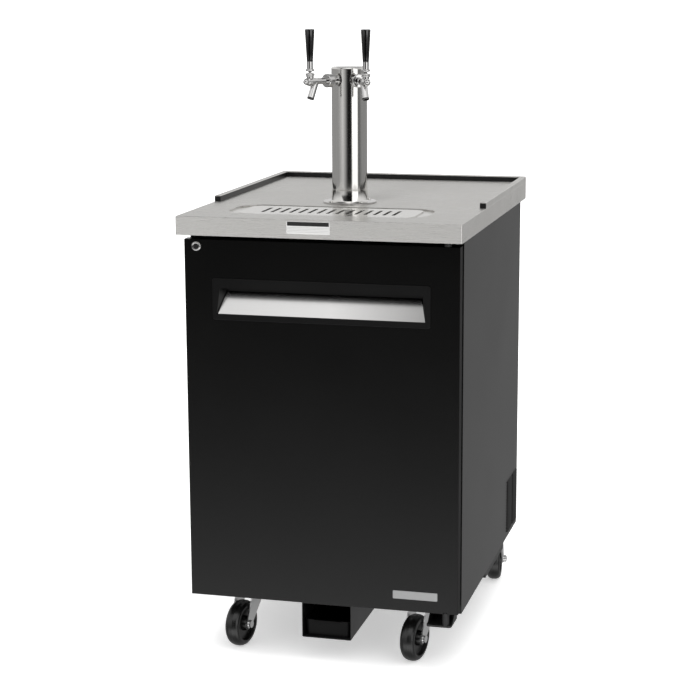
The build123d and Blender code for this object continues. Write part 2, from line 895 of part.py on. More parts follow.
export_step(evaporator_cover.part, "parts/evaporator_cover.step")

with BuildPart() as evaporator_coil:
    with Locations((0, 267.5, 740)):
        with GridLocations(12.5, 0, 25, 1):
            Box(1, 55, 180)
    for tube_y in (254, 281):
        for row in range(6):
            along_x(tube_y, 665 + 30 * row, -160, 160, 4.5)
evaporator_coil.part.label = "evaporator_coil"
export_step(evaporator_coil.part, "parts/evaporator_coil.step")

fan_shaft = 3.0
cold_fan_y = 177.0
warm_fan_x = 202.0
warm_fan_y = 280.0
warm_fan_z = 235.0


def fan_rotor(place):
    """Hub with five pitched blades on a bore for the motor shaft."""
    with Locations(place):
        Cylinder(17, 14)
        with PolarLocations(33, 5):
            Box(40, 24, 1.8, rotation=(28, 0, 0))
        Cylinder(fan_shaft + running_gap, 20, mode=Mode.SUBTRACT)


with BuildPart() as evaporator_fan:
    fan_rotor(Location((0, cold_fan_y, cold_fan_z), (90, 0, 0)))
evaporator_fan.part.label = "evaporator_fan"
export_step(evaporator_fan.part, "parts/evaporator_fan.step")

with BuildPart() as condenser_fan:
    fan_rotor(Location((warm_fan_x, warm_fan_y, warm_fan_z), (0, 90, 0)))
condenser_fan.part.label = "condenser_fan"
export_step(condenser_fan.part, "parts/condenser_fan.step")

with BuildPart() as fan_motors:
    along_y(0, cold_fan_z, cold_fan_y - 9, 196, fan_shaft)
    along_y(0, cold_fan_z, 195, 228, 22)
    bar_half = cover_half - cover_sheet
    block(-bar_half, bar_half, 226, 228, cold_fan_z - 6, cold_fan_z + 6)
    along_x(warm_fan_y, warm_fan_z, 184, warm_fan_x + 9, fan_shaft)
    along_x(warm_fan_y, warm_fan_z, 145, 186, 24)
    block(150, 153, warm_fan_y - 30, warm_fan_y + 30, pan_top, warm_fan_z)
    block(150, 190, warm_fan_y - 30, warm_fan_y + 30, pan_top, pan_top + 3)
fan_motors.part.label = "fan_motors"
export_step(fan_motors.part, "parts/fan_motors.step")

with BuildPart() as thermostat_knob:
    along_y(knob_x, knob_z, cover_front - 15, cover_front - 0.5, 15)
    with Locations(Location((knob_x, cover_front - 9, knob_z), (90, 0, 0))):
        with PolarLocations(16, 12):
            Cylinder(2, 14, mode=Mode.SUBTRACT)
    along_y(knob_x, knob_z, cover_front - 19, cover_front - 14, 11)
    with Locations((knob_x, cover_front - 19, knob_z + 6)):
        Box(1.6, 1.6, 9, mode=Mode.SUBTRACT)
    along_y(knob_x, knob_z, cover_front - 1, cover_front + 6, knob_stem)
thermostat_knob.part.label = "thermostat_knob"
export_step(thermostat_knob.part, "parts/thermostat_knob.step")

# ------------------------------------------------------------------ machine bay
compressor_x = suction_x
compressor_y = line_y
compressor_radius = 74.0
compressor_low = 144.0
compressor_high = 326.0
stub_top = 340.0
discharge_x = compressor_x + 40.0

with BuildPart() as compressor:
    upright(compressor_x, compressor_y, compressor_low, compressor_high, compressor_radius)
    fillet(compressor.edges().filter_by(GeomType.CIRCLE), radius=42)
    upright(compressor_x, compressor_y, 230, 236, compressor_radius + 3)
    upright(compressor_x, compressor_y, 138, 152, 40)
    with Locations((compressor_x, compressor_y, 140)):
        Box(190, 130, 4)
    with Locations((compressor_x, compressor_y, (pan_top + 138) / 2)):
        with GridLocations(170, 110, 2, 2):
            Cylinder(9, 138 - pan_top)
    upright(compressor_x, compressor_y, compressor_high - 6, stub_top, 6)
    upright(discharge_x, compressor_y, compressor_high - 16, stub_top, 6)
    block(
        compressor_x - compressor_radius - 16,
        compressor_x - compressor_radius + 12,
        compressor_y - 25,
        compressor_y + 25,
        200,
        262,
    )
compressor.part.label = "compressor"
export_step(compressor.part, "parts/compressor.step")

condenser_x = 247.5
condenser_top = 330.0
condenser_front = 205.0
condenser_back = 355.0

with BuildPart() as condenser_coil:
    with Locations((condenser_x, (condenser_front + condenser_back) / 2, 236)):
        with GridLocations(0, 8, 1, 18):
            Box(45, 1, 2 * (condenser_top - 236))
    for wall_y in (condenser_front, condenser_back - 2):
        block(condenser_x - 22.5, condenser_x + 22.5, wall_y, wall_y + 2, pan_top, condenser_top)
    for tube_x in (condenser_x - 11, condenser_x + 11):
        for row in range(6):
            along_y(tube_x, 157 + 31 * row, condenser_front - 6, condenser_back + 6, 4.5)
    block(
        condenser_x - 22.5,
        condenser_x + 22.5,
        condenser_front,
        condenser_back,
        condenser_top - 2,
        condenser_top,
    )
condenser_coil.part.label = "condenser_coil"
export_step(condenser_coil.part, "parts/condenser_coil.step")

line_radius = 4.5
coil_bottom = 650.0
line_routes = (
    [(discharge_x, stub_top), (discharge_x, 372), (235, 372), (235, condenser_top)],
    [(260, condenser_top), (260, 400), (liquid_x, 400), (liquid_x, coil_bottom)],
)

with BuildPart() as refrigerant_lines:
    upright(suction_x, line_y, stub_top, coil_bottom, line_radius)
    for route in line_routes:
        with BuildLine(Plane.XZ.offset(-line_y)) as run:
            FilletPolyline(*route, radius=14)
        with BuildSketch(Plane(origin=run.line @ 0, z_dir=run.line % 0)):
            Circle(line_radius)
        sweep(path=run.line)
refrigerant_lines.part.label = "refrigerant_lines"
export_step(refrigerant_lines.part, "parts/refrigerant_lines.step")

cord_bore = 4.5
gas_bore = 6.5
bushing_end = cabinet_rear + 6.5

with BuildPart() as entry_bushings:
    along_y(cord_x, cord_z, bushing_end - 24, cabinet_rear, cord_radius - 0.1)
    along_y(cord_x, cord_z, cabinet_rear, bushing_end, 12)
    along_y(cord_x, cord_z, bushing_end - 25, bushing_end + 1, cord_bore, Mode.SUBTRACT)
    along_y(gas_x, gas_z, inside_back_high - 3, inside_back_high, 13)
    along_y(gas_x, gas_z, inside_back_high - 1, cabinet_rear, gas_radius - 0.1)
    along_y(gas_x, gas_z, cabinet_rear, bushing_end, 14)
    along_y(gas_x, gas_z, inside_back_high - 4, bushing_end + 1, gas_bore, Mode.SUBTRACT)
entry_bushings.part.label = "entry_bushings"
export_step(entry_bushings.part, "parts/entry_bushings.step")

# ------------------------------------------------------------------ door
flange_inner_half = door_half - 13.0
skin_back_inner = door_back - door_sheet
pocket_half = 226.0
pocket_low = 737.0
pocket_high = 815.0
barrel_radius = 9.0
pin_low_top = 146.0
pin_high_bottom = 884.0
notch_radius = 8.6
notch_top = 133.0

with BuildPart() as door_skin:
    block(-door_half, door_half, door_front, door_back, door_bottom, door_top)
    fillet(door_skin.edges().group_by(Axis.Y)[0], radius=0.9)
    block(
        -door_half + door_sheet,
        door_half - door_sheet,
        door_front + door_sheet,
        skin_back_inner,
        door_bottom + door_sheet,
        door_top - door_sheet,
        mode=Mode.SUBTRACT,
    )
    block(
        -flange_inner_half,
        flange_inner_half,
        skin_back_inner - 1,
        door_back + 1,
        door_bottom + 13,
        door_top - 13,
        mode=Mode.SUBTRACT,
    )
    block(
        -pocket_half,
        pocket_half,
        door_front - 1,
        door_front + 3,
        pocket_low,
        pocket_high,
        mode=Mode.SUBTRACT,
    )
    upright(hinge_x, hinge_y, door_bottom, notch_top + door_sheet, notch_radius + door_sheet)
    block(
        hinge_x - 12,
        hinge_x + 12,
        door_front - 5,
        door_front,
        door_bottom - 1,
        notch_top + 3,
        mode=Mode.SUBTRACT,
    )
    upright(hinge_x, hinge_y, door_bottom - 1, notch_top, notch_radius, Mode.SUBTRACT)
    pin_hole = hinge_pin_radius + running_gap
    upright(hinge_x, hinge_y, notch_top - 1, notch_top + 3, pin_hole, Mode.SUBTRACT)
    upright(hinge_x, hinge_y, door_top - 3, door_top + 1, pin_hole, Mode.SUBTRACT)
    along_y(lock_x, lock_z, door_front - 1, door_back + 1, barrel_radius + 0.05, Mode.SUBTRACT)
door_skin.part.label = "door_skin"
export_step(door_skin.part, "parts/door_skin.step")

dike_half = 236.0
dike_low = 186.0
dike_high = 852.0
dike_front = door_front + 35.0
liner_margin = 3.0
liner_back = door_back + sheet
cam_sheet = 2.0
plug_radius = 6.0

with BuildPart() as door_liner:
    block(
        -door_half + liner_margin,
        door_half - liner_margin,
        door_back,
        liner_back,
        door_bottom + liner_margin,
        door_top - liner_margin,
    )
    block(-dike_half, dike_half, door_back, dike_front, dike_low, dike_high)
    fillet(door_liner.edges().group_by(Axis.Y)[-1], radius=3)
    block(
        -dike_half + sheet,
        dike_half - sheet,
        door_back - 1,
        dike_front - sheet,
        dike_low + sheet,
        dike_high - sheet,
        mode=Mode.SUBTRACT,
    )
    along_y(lock_x, lock_z, door_back - 1, liner_back + 1, plug_radius + 0.5, Mode.SUBTRACT)
door_liner.part.label = "door_liner"
export_step(door_liner.part, "parts/door_liner.step")

recess_back = door_front + 27.0
bezel_back = recess_back + 1.6

with BuildPart() as door_foam:
    block(
        -door_half + door_sheet,
        door_half - door_sheet,
        door_front + door_sheet,
        skin_back_inner,
        door_bottom + door_sheet,
        door_top - door_sheet,
    )
    block(
        -flange_inner_half,
        flange_inner_half,
        skin_back_inner,
        door_back,
        door_bottom + 13,
        door_top - 13,
    )
    block(
        -dike_half + sheet,
        dike_half - sheet,
        door_back,
        dike_front - sheet - 2,
        dike_low + sheet,
        dike_high - sheet,
    )
    block(
        -pocket_half,
        pocket_half,
        door_front,
        bezel_back + 0.5,
        pocket_low,
        pocket_high,
        mode=Mode.SUBTRACT,
    )
    upright(hinge_x, hinge_y, door_bottom, notch_top + 1.2, notch_radius + 1.2, Mode.SUBTRACT)
    upright(hinge_x, hinge_y, door_bottom, pin_low_top + 1, hinge_pin_radius + 1, Mode.SUBTRACT)
    upright(hinge_x, hinge_y, pin_high_bottom - 1, door_top, hinge_pin_radius + 1, Mode.SUBTRACT)
    along_y(lock_x, lock_z, door_front, door_back + 1, barrel_radius + 0.1, Mode.SUBTRACT)
door_foam.part.label = "door_foam"
export_step(door_foam.part, "parts/door_foam.step")

gasket_half = 259.0
gasket_width = 16.0
gasket_low = 158.0
gasket_high = 880.0
gasket_base = 5.0
gasket_face = cabinet_front - 0.2


def gasket_ring(inset, width, y0, y1):
    """One rectangular ring of the door seal."""
    outer = gasket_half - inset
    low = gasket_low + inset
    high = gasket_high - inset
    block(-outer, outer, y0, y1, low, high)
    block(
        -outer + width,
        outer - width,
        y0 - 1,
        y1 + 1,
        low + width,
        high - width,
        mode=Mode.SUBTRACT,
    )


with BuildPart() as door_gasket:
    gasket_ring(0, gasket_width, liner_back + gasket_base, gasket_face)
    fillet(door_gasket.edges().group_by(Axis.Y)[-1], radius=3)
    with BuildPart(mode=Mode.PRIVATE) as gasket_foot:
        gasket_ring(4, gasket_width - 8, liner_back, liner_back + gasket_base)
    add(gasket_foot.part)
door_gasket.part.label = "door_gasket"
export_step(door_gasket.part, "parts/door_gasket.step")

bezel_half = 231.0
bezel_low = 732.0
bezel_high = 819.5
bezel_proud = 2.0
bezel_front = door_front - bezel_proud

# The hand reaches in over the slanted plate and up behind the upper band.
ramp_low = Vector(door_front, 743.5)
ramp_high = Vector(recess_back, 789.0)
recess_side_view = [
    (bezel_front - 1, ramp_low.Y),
    (ramp_low.X, ramp_low.Y),
    (ramp_high.X, ramp_high.Y),
    (recess_back, 812.0),
    (door_front + 13.5, 812.0),
    (door_front + 7.5, 798.5),
    (bezel_front - 1, 798.5),
]
recess_front_view = [(-223.3, 735.0), (223.3, 735.0), (212.0, 821.0), (-212.0, 821.0)]
plate_front_view = [(-221.5, 735.0), (221.5, 735.0), (210.5, 821.0), (-210.5, 821.0)]
recess_draft = 15.0


def drafted_recess(side_view, front_view):
    """A side view carried across the door and trimmed to drafted ends."""
    with BuildPart(mode=Mode.PRIVATE) as recess:
        with BuildSketch(Plane.YZ) as section:
            with BuildLine():
                Polyline(*side_view, close=True)
            make_face()
        extrude(section.sketch, amount=240, both=True)
        with BuildSketch(Plane.XZ.offset(-bezel_front + 1)) as face:
            with BuildLine():
                Polyline(*front_view, close=True)
            make_face()
        extrude(face.sketch, amount=-32, taper=recess_draft, mode=Mode.INTERSECT)
    return recess.part


with BuildPart() as handle_bezel:
    block(-bezel_half, bezel_half, bezel_front, door_front, bezel_low, bezel_high)
    fillet(handle_bezel.edges().filter_by(Axis.Y), radius=6)
    fillet(handle_bezel.edges().group_by(Axis.Y)[0], radius=1.2)
    block(
        -pocket_half + 0.3,
        pocket_half - 0.3,
        door_front,
        bezel_back,
        pocket_low + 0.3,
        pocket_high - 0.3,
    )
    add(drafted_recess(recess_side_view, recess_front_view), mode=Mode.SUBTRACT)
handle_bezel.part.label = "handle_bezel"
export_step(handle_bezel.part, "parts/handle_bezel.step")

plate_sheet = 1.0
ramp_run = (ramp_high - ramp_low).normalized()
ramp_out = Vector(-ramp_run.Y, ramp_run.X)
plate_low = ramp_low + ramp_run * 1.2 + ramp_out * 0.03
plate_high = ramp_high - ramp_run * 1.2 + ramp_out * 0.03
plate_side_view = [
    plate_low,
    plate_high,
    plate_high + ramp_out * plate_sheet,
    plate_low + ramp_out * plate_sheet,
]

with BuildPart() as handle_plate:
    add(drafted_recess(plate_side_view, plate_front_view))
handle_plate.part.label = "handle_plate"
export_step(handle_plate.part, "parts/handle_plate.step")

with BuildPart() as lock_barrel:
    along_y(lock_x, lock_z, bezel_front, door_front, 10)
    fillet(lock_barrel.edges().group_by(Axis.Y)[0], radius=0.8)
    along_y(lock_x, lock_z, door_front, skin_back_inner, barrel_radius)
    along_y(
        lock_x,
        lock_z,
        bezel_front - 1,
        door_back,
        plug_radius + running_gap,
        Mode.SUBTRACT,
    )
lock_barrel.part.label = "lock_barrel"
export_step(lock_barrel.part, "parts/lock_barrel.step")

cam_length = 24.0
cam_half = 4.0
cam_front = liner_back + 0.3

with BuildPart() as lock_plug:
    along_y(lock_x, lock_z, bezel_front - 0.5, cam_front, plug_radius)
    with Locations((lock_x, bezel_front, lock_z)):
        Box(1.6, 6, 6.4, mode=Mode.SUBTRACT)
    along_y(lock_x, lock_z, cam_front, cam_front + cam_sheet, 4.8)
    block(
        lock_x - cam_length,
        lock_x,
        cam_front,
        cam_front + cam_sheet,
        lock_z - cam_half,
        lock_z + cam_half,
    )
    fillet(lock_plug.edges().filter_by(Axis.Y).group_by(Axis.X)[0], radius=2)
lock_plug.part.label = "lock_plug"
export_step(lock_plug.part, "parts/lock_plug.step")

badge_x = 200.5
badge_z = 165.25

with BuildPart() as badge_plate:
    with Locations((badge_x, door_front - 0.6, badge_z)):
        Box(95, 1.2, 17.5)
    fillet(badge_plate.edges().filter_by(Axis.Y), radius=2)
    fillet(badge_plate.edges().group_by(Axis.Y)[0], radius=0.5)
badge_plate.part.label = "badge_plate"
export_step(badge_plate.part, "parts/badge_plate.step")

bracket_right = 277.0
lower_plate_x = 224.0
lower_plate_z0 = 100.5
lower_plate_z1 = 104.5
upper_plate_x = 205.0
web_back = frame_back + 11.5

with BuildPart() as hinge_brackets:
    block(lower_plate_x, bracket_right, door_front, web_back, lower_plate_z0, lower_plate_z1)
    fillet(hinge_brackets.edges().filter_by(Axis.Z).group_by(Axis.Y)[0], radius=7)
    block(lower_plate_x, bracket_right, web_back - 3, web_back, lower_plate_z1, pan_bottom)
    for gusset_x in (lower_plate_x, bracket_right - 3):
        with BuildSketch(Plane.YZ.offset(gusset_x)):
            with BuildLine():
                Polyline(
                    (web_back, lower_plate_z1),
                    (web_back, skirt_bottom),
                    (cabinet_front, skirt_bottom),
                    (cabinet_front - 24, lower_plate_z1),
                    close=True,
                )
            make_face()
        extrude(amount=3)
    upright(hinge_x, hinge_y, lower_plate_z1, notch_top - 0.6, 7.5)
    fillet(hinge_brackets.edges().filter_by(GeomType.CIRCLE).group_by(Axis.Z)[-1], radius=2)
    upright(hinge_x, hinge_y, lower_plate_z1, pin_low_top, hinge_pin_radius)
    block(upper_plate_x, bracket_right, hinge_y - 7, cabinet_front, cabinet_top - 3.5, cabinet_top)
    upright(hinge_x, hinge_y, door_top + 0.7, cabinet_top - 3.5, 7.5)
    upright(hinge_x, hinge_y, pin_high_bottom, cabinet_top - 3.5, hinge_pin_radius)
hinge_brackets.part.label = "hinge_brackets"
export_step(hinge_brackets.part, "parts/hinge_brackets.step")

# ------------------------------------------------------------------ waste tray under the door
tray_x = 6.0
channel_half = 54.0
channel_sheet = 1.5
channel_low = 50.0
channel_mouth = front + 38.0
channel_end = front + 368.0
mouth_top = 127.0

with BuildPart() as tray_channel:
    with BuildSketch(Plane.YZ.offset(tray_x)):
        with BuildLine():
            Polyline(
                (channel_mouth, channel_low),
                (channel_end, channel_low),
                (channel_end, pan_bottom),
                (frame_back, pan_bottom),
                (frame_back, skirt_bottom),
                (cabinet_front - 1, skirt_bottom),
                (cabinet_front - 1, mouth_top),
                (channel_mouth, mouth_top),
                close=True,
            )
        make_face()
    extrude(amount=channel_half, both=True)
    fillet(tray_channel.edges().filter_by(Axis.Y).group_by(Axis.Z)[0], radius=3)
    inner_half = channel_half - channel_sheet
    inner_low = channel_low + channel_sheet
    block(
        tray_x - inner_half,
        tray_x + inner_half,
        channel_mouth - 1,
        channel_end - channel_sheet,
        inner_low,
        skirt_bottom - channel_sheet,
        mode=Mode.SUBTRACT,
    )
    block(
        tray_x - inner_half,
        tray_x + inner_half,
        frame_back + channel_sheet,
        channel_end - channel_sheet,
        inner_low,
        pan_bottom + 1,
        mode=Mode.SUBTRACT,
    )
    block(
        tray_x - inner_half,
        tray_x + inner_half,
        channel_mouth - 1,
        cabinet_front - 1 - channel_sheet,
        inner_low,
        mouth_top - channel_sheet,
        mode=Mode.SUBTRACT,
    )
tray_channel.part.label = "tray_channel"
export_step(tray_channel.part, "parts/tray_channel.step")

tray_front = front + 44.5
tray_back = front + 350.5
tray_bottom = 52.0
tray_height = 36.0
tray_wall = 2.0
tray_draft = 4.0
tray_base_width = 97.0
tray_rim = 3.0

with BuildPart() as waste_tray:
    tray_middle = (tray_front + tray_back) / 2
    tray_base_length = tray_back - tray_front - 6
    with BuildSketch(Plane.XY.offset(tray_bottom)):
        with Locations((tray_x, tray_middle)):
            RectangleRounded(tray_base_width, tray_base_length, 10)
    extrude(amount=tray_height, taper=-tray_draft)
    with BuildSketch(Plane.XY.offset(tray_bottom + tray_wall)):
        with Locations((tray_x, tray_middle)):
            RectangleRounded(
                tray_base_width - 2 * tray_wall,
                tray_base_length - 2 * tray_wall,
                8,
            )
    extrude(amount=tray_height, taper=-tray_draft, mode=Mode.SUBTRACT)
    block(
        tray_x - 30,
        tray_x + 30,
        tray_front - tray_rim,
        tray_front + 2,
        tray_bottom + tray_height - 3,
        tray_bottom + tray_height,
    )
waste_tray.part.label = "waste_tray"
export_step(waste_tray.part, "parts/waste_tray.step")

# ------------------------------------------------------------------ casters
plate_half_x = 30.0
plate_half_y = 46.0
raceway_radius = 26.0
raceway_bottom = 119.0
kingpin_radius = 6.0
fork_top = 118.4
fork_low = 113.2
nut_low = 107.0
leg_inner = 18.5
leg_sheet = 3.0
hub_radius = 14.0
hub_half = 18.0

with BuildPart() as caster_plates:
    for swivel_x, swivel_y, trail in casters.values():
        with Locations((swivel_x, swivel_y, (plate_bottom + pan_bottom) / 2)):
            Box(2 * plate_half_x, 2 * plate_half_y, pan_bottom - plate_bottom)
        upright(swivel_x, swivel_y, raceway_bottom, plate_bottom, raceway_radius)
        upright(swivel_x, swivel_y, nut_low + 6, raceway_bottom, kingpin_radius)
        upright(swivel_x, swivel_y, nut_low, nut_low + 6, 10)
        with Locations((swivel_x, swivel_y, plate_bottom)):
            with GridLocations(2 * plate_bolt_x, 2 * plate_bolt_y, 2, 2):
                Cylinder(plate_bolt_radius + 0.1, 10, mode=Mode.SUBTRACT)
caster_plates.part.label = "caster_plates"
export_step(caster_plates.part, "parts/caster_plates.step")

with BuildPart() as caster_bolts:
    for swivel_x, swivel_y, trail in casters.values():
        with Locations((swivel_x, swivel_y, 0)):
            with GridLocations(2 * plate_bolt_x, 2 * plate_bolt_y, 2, 2):
                with Locations((0, 0, (plate_bottom + pan_top) / 2)):
                    Cylinder(plate_bolt_radius, pan_top - plate_bottom)
                with Locations((0, 0, plate_bottom - 2.5)):
                    Cylinder(6.5, 5)
    fillet(caster_bolts.edges().group_by(Axis.Z)[0], radius=1.5)
caster_bolts.part.label = "caster_bolts"
export_step(caster_bolts.part, "parts/caster_bolts.step")


def caster_plane(caster):
    """The upright plane of one caster: local x trails, local y is up, z is the axle."""
    swivel_x, swivel_y, trail = casters[caster]
    return Plane(
        origin=(swivel_x, swivel_y, 0),
        x_dir=(trail[0], trail[1], 0),
        z_dir=(trail[1], -trail[0], 0),
    )


def axle_cylinder(plane, z0, z1, radius, mode=Mode.ADD):
    """A cylinder on the axle line, between two distances from the wheel's middle."""
    spot = plane.location * Location((caster_trail, wheel_radius, (z0 + z1) / 2))
    with Locations(spot):
        Cylinder(radius, z1 - z0, mode=mode)


def caster_fork(caster):
    """Crown, two tapering legs and the axle bolt of one caster."""
    plane = caster_plane(caster)
    swivel_x, swivel_y, trail = casters[caster]
    outer = leg_inner + leg_sheet
    with BuildPart(mode=Mode.PRIVATE) as fork:
        with BuildSketch(plane.offset(-outer)) as leg:
            with BuildLine():
                Polyline(
                    (-24, fork_top),
                    (24, fork_top),
                    (28, 100),
                    (caster_trail + 11.5, 53),
                    (caster_trail + 8, 41),
                    (caster_trail - 8, 41),
                    (caster_trail - 14, 50),
                    (-20, 96),
                    (-24, 108),
                    close=True,
                )
            make_face()
            fillet(leg.vertices().group_by(Axis.Z)[0], radius=6)
        extrude(leg.sketch, amount=leg_sheet)
        extrude(leg.sketch.moved(Location(plane.z_dir * (2 * outer - leg_sheet))), amount=leg_sheet)
        crown = plane.location * Location((0, (fork_top + fork_low) / 2, 0))
        with Locations(crown):
            Box(48, fork_top - fork_low, 2 * outer)
        upright(swivel_x, swivel_y, fork_low, fork_top, 27)
        upright(
            swivel_x,
            swivel_y,
            fork_low - 1,
            fork_top + 1,
            kingpin_radius + running_gap,
            Mode.SUBTRACT,
        )
        axle_cylinder(plane, -outer - 1, outer + 1, axle_radius + 0.05, Mode.SUBTRACT)
        with BuildPart(mode=Mode.PRIVATE) as bolt:
            axle_cylinder(plane, -outer, outer + 8, axle_radius)
            axle_cylinder(plane, -outer - 5, -outer, 8)
            axle_cylinder(plane, outer, outer + 6, 8)
        add(bolt.part)
    return fork.part


def caster_wheel(caster):
    """Crowned tyre, thin web and hub of one caster wheel."""
    plane = caster_plane(caster)
    center = plane.location * Location((caster_trail, wheel_radius, 0))
    spin = plane.z_dir
    section_plane = Plane(
        origin=center.position,
        x_dir=spin,
        z_dir=spin.cross(Vector(0, 0, 1)),
    )
    bore = axle_radius + running_gap
    with BuildPart(mode=Mode.PRIVATE) as wheel:
        with BuildSketch(section_plane) as section:
            with BuildLine():
                Polyline(
                    (-hub_half, bore),
                    (-hub_half, hub_radius),
                    (-wheel_half_width + 8, hub_radius + 3),
                    (-wheel_half_width + 8, wheel_radius - 16),
                    (-wheel_half_width, wheel_radius - 13),
                    (-wheel_half_width, wheel_radius - 9.5),
                    (-wheel_half_width + 1.2, wheel_radius - 6.2),
                    (-wheel_half_width + 3.8, wheel_radius - 3.2),
                    (-wheel_half_width + 7.4, wheel_radius - 1.2),
                    (-wheel_half_width + 12, wheel_radius),
                    (wheel_half_width - 12, wheel_radius),
                    (wheel_half_width - 7.4, wheel_radius - 1.2),
                    (wheel_half_width - 3.8, wheel_radius - 3.2),
                    (wheel_half_width - 1.2, wheel_radius - 6.2),
                    (wheel_half_width, wheel_radius - 9.5),
                    (wheel_half_width, wheel_radius - 13),
                    (wheel_half_width - 8, wheel_radius - 16),
                    (wheel_half_width - 8, hub_radius + 3),
                    (hub_half, hub_radius),
                    (hub_half, bore),
                    close=True,
                )
            make_face()
        revolve(section.sketch, axis=Axis(center.position, spin))
    return wheel.part


for caster in casters:
    with BuildPart() as caster_fork_part:
        add(caster_fork(caster))
    caster_fork_part.part.label = f"caster_fork_{caster}"
    export_step(caster_fork_part.part, f"parts/caster_fork_{caster}.step")

    with BuildPart() as caster_wheel_part:
        add(caster_wheel(caster))
    caster_wheel_part.part.label = f"caster_wheel_{caster}"
    export_step(caster_wheel_part.part, f"parts/caster_wheel_{caster}.step")
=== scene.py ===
"""The kegerator's visual model on its CAD frame: finishes, mesh pieces and the studio."""

import math

import bmesh
import bpy
from mathutils import Matrix, Vector


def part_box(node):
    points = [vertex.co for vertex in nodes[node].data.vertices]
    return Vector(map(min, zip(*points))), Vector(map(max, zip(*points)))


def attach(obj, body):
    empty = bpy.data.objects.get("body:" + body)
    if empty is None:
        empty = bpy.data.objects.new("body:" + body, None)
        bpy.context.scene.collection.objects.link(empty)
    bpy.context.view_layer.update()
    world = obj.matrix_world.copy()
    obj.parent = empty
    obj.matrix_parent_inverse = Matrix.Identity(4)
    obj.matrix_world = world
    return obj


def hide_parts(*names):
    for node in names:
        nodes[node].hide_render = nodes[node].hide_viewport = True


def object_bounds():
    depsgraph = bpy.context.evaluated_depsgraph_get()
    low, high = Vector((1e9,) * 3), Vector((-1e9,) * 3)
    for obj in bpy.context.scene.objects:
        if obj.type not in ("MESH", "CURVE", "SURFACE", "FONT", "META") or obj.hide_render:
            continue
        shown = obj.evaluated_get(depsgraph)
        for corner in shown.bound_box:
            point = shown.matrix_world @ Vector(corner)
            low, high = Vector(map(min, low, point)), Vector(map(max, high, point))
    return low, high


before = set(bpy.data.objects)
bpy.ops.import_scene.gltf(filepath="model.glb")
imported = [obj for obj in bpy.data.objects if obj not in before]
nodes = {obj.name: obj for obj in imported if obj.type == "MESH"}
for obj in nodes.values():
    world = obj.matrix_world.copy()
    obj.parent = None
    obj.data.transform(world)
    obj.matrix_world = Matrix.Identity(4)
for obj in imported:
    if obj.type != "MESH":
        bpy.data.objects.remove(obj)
cad_low, cad_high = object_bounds()


# ------------------------------------------------------------------ material helpers
def new_material(name, base, roughness, metallic=0.0, **sockets):
    """A Principled material; more sockets go in by name, with spaces as underscores."""
    mat = bpy.data.materials.new(name)
    mat.use_nodes = True
    shader = mat.node_tree.nodes["Principled BSDF"]
    shader.inputs["Base Color"].default_value = (*base, 1.0)
    shader.inputs["Roughness"].default_value = roughness
    shader.inputs["Metallic"].default_value = metallic
    for key, value in sockets.items():
        shader.inputs[key.replace("_", " ")].default_value = value
    return mat


def node(mat, kind, **inputs):
    """Adds a shader node and sets its input sockets."""
    made = mat.node_tree.nodes.new(kind)
    for key, value in inputs.items():
        made.inputs[key.replace("_", " ")].default_value = value
    return made


def link(mat, source, target):
    mat.node_tree.links.new(source, target)


def stretched_noise(mat, stretch, scale, detail=3.0, roughness=0.55):
    """Noise in the object's own metres, stretched along the axes by a factor each."""
    coordinates = node(mat, "ShaderNodeTexCoord")
    mapping = node(mat, "ShaderNodeMapping", Scale=stretch)
    noise = node(mat, "ShaderNodeTexNoise", Scale=scale, Detail=detail, Roughness=roughness)
    link(mat, coordinates.outputs["Object"], mapping.inputs["Vector"])
    link(mat, mapping.outputs["Vector"], noise.inputs["Vector"])
    return noise


def remap(mat, source, low, high, from_low=0.3, from_high=0.7):
    """Maps a number from a texture or a coordinate onto a range of values."""
    ranged = node(mat, "ShaderNodeMapRange")
    ranged.inputs["From Min"].default_value = from_low
    ranged.inputs["From Max"].default_value = from_high
    ranged.inputs["To Min"].default_value = low
    ranged.inputs["To Max"].default_value = high
    link(mat, source, ranged.inputs["Value"])
    return ranged.outputs["Result"]


def tint(mat, source, dark, light):
    """A colour that runs between two tints with a grey texture."""
    ramp = node(mat, "ShaderNodeValToRGB")
    ramp.color_ramp.elements[0].position = 0.3
    ramp.color_ramp.elements[1].position = 0.7
    ramp.color_ramp.elements[0].color = (*dark, 1.0)
    ramp.color_ramp.elements[1].color = (*light, 1.0)
    link(mat, source, ramp.inputs["Fac"])
    link(mat, ramp.outputs["Color"], shader_of(mat).inputs["Base Color"])


def shader_of(mat):
    return mat.node_tree.nodes["Principled BSDF"]


def bump_from(mat, source, distance):
    """Bump in metres of height."""
    bump = node(mat, "ShaderNodeBump", Strength=1.0, Distance=distance)
    link(mat, source, bump.inputs["Height"])
    link(mat, bump.outputs["Normal"], shader_of(mat).inputs["Normal"])


def place_along(mat, axis):
    """A point's coordinate along one axis, in the object's own metres."""
    coordinates = node(mat, "ShaderNodeTexCoord")
    place = node(mat, "ShaderNodeSeparateXYZ")
    link(mat, coordinates.outputs["Object"], place.inputs["Vector"])
    return place.outputs[axis]


def shade_by(mat, factor, shade):
    """Blends the textured base colour towards a shade as the factor goes from 0 to 1."""
    base = shader_of(mat).inputs["Base Color"]
    blended = node(mat, "ShaderNodeMix")
    blended.data_type = "RGBA"
    blended.inputs["B"].default_value = (*shade, 1.0)
    link(mat, factor, blended.inputs["Factor"])
    link(mat, base.links[0].from_socket, blended.inputs["A"])
    link(mat, blended.outputs["Result"], base)


scratch_stretch, scratch_scale = 90.0, 14.0
scratch_dark, scratch_light = 0.93, 1.04
cloud_scale, cloud_share = 5.0, 0.35
smoother, rougher = 0.05, 0.07
least_mixed, most_mixed = 0.4, 0.95


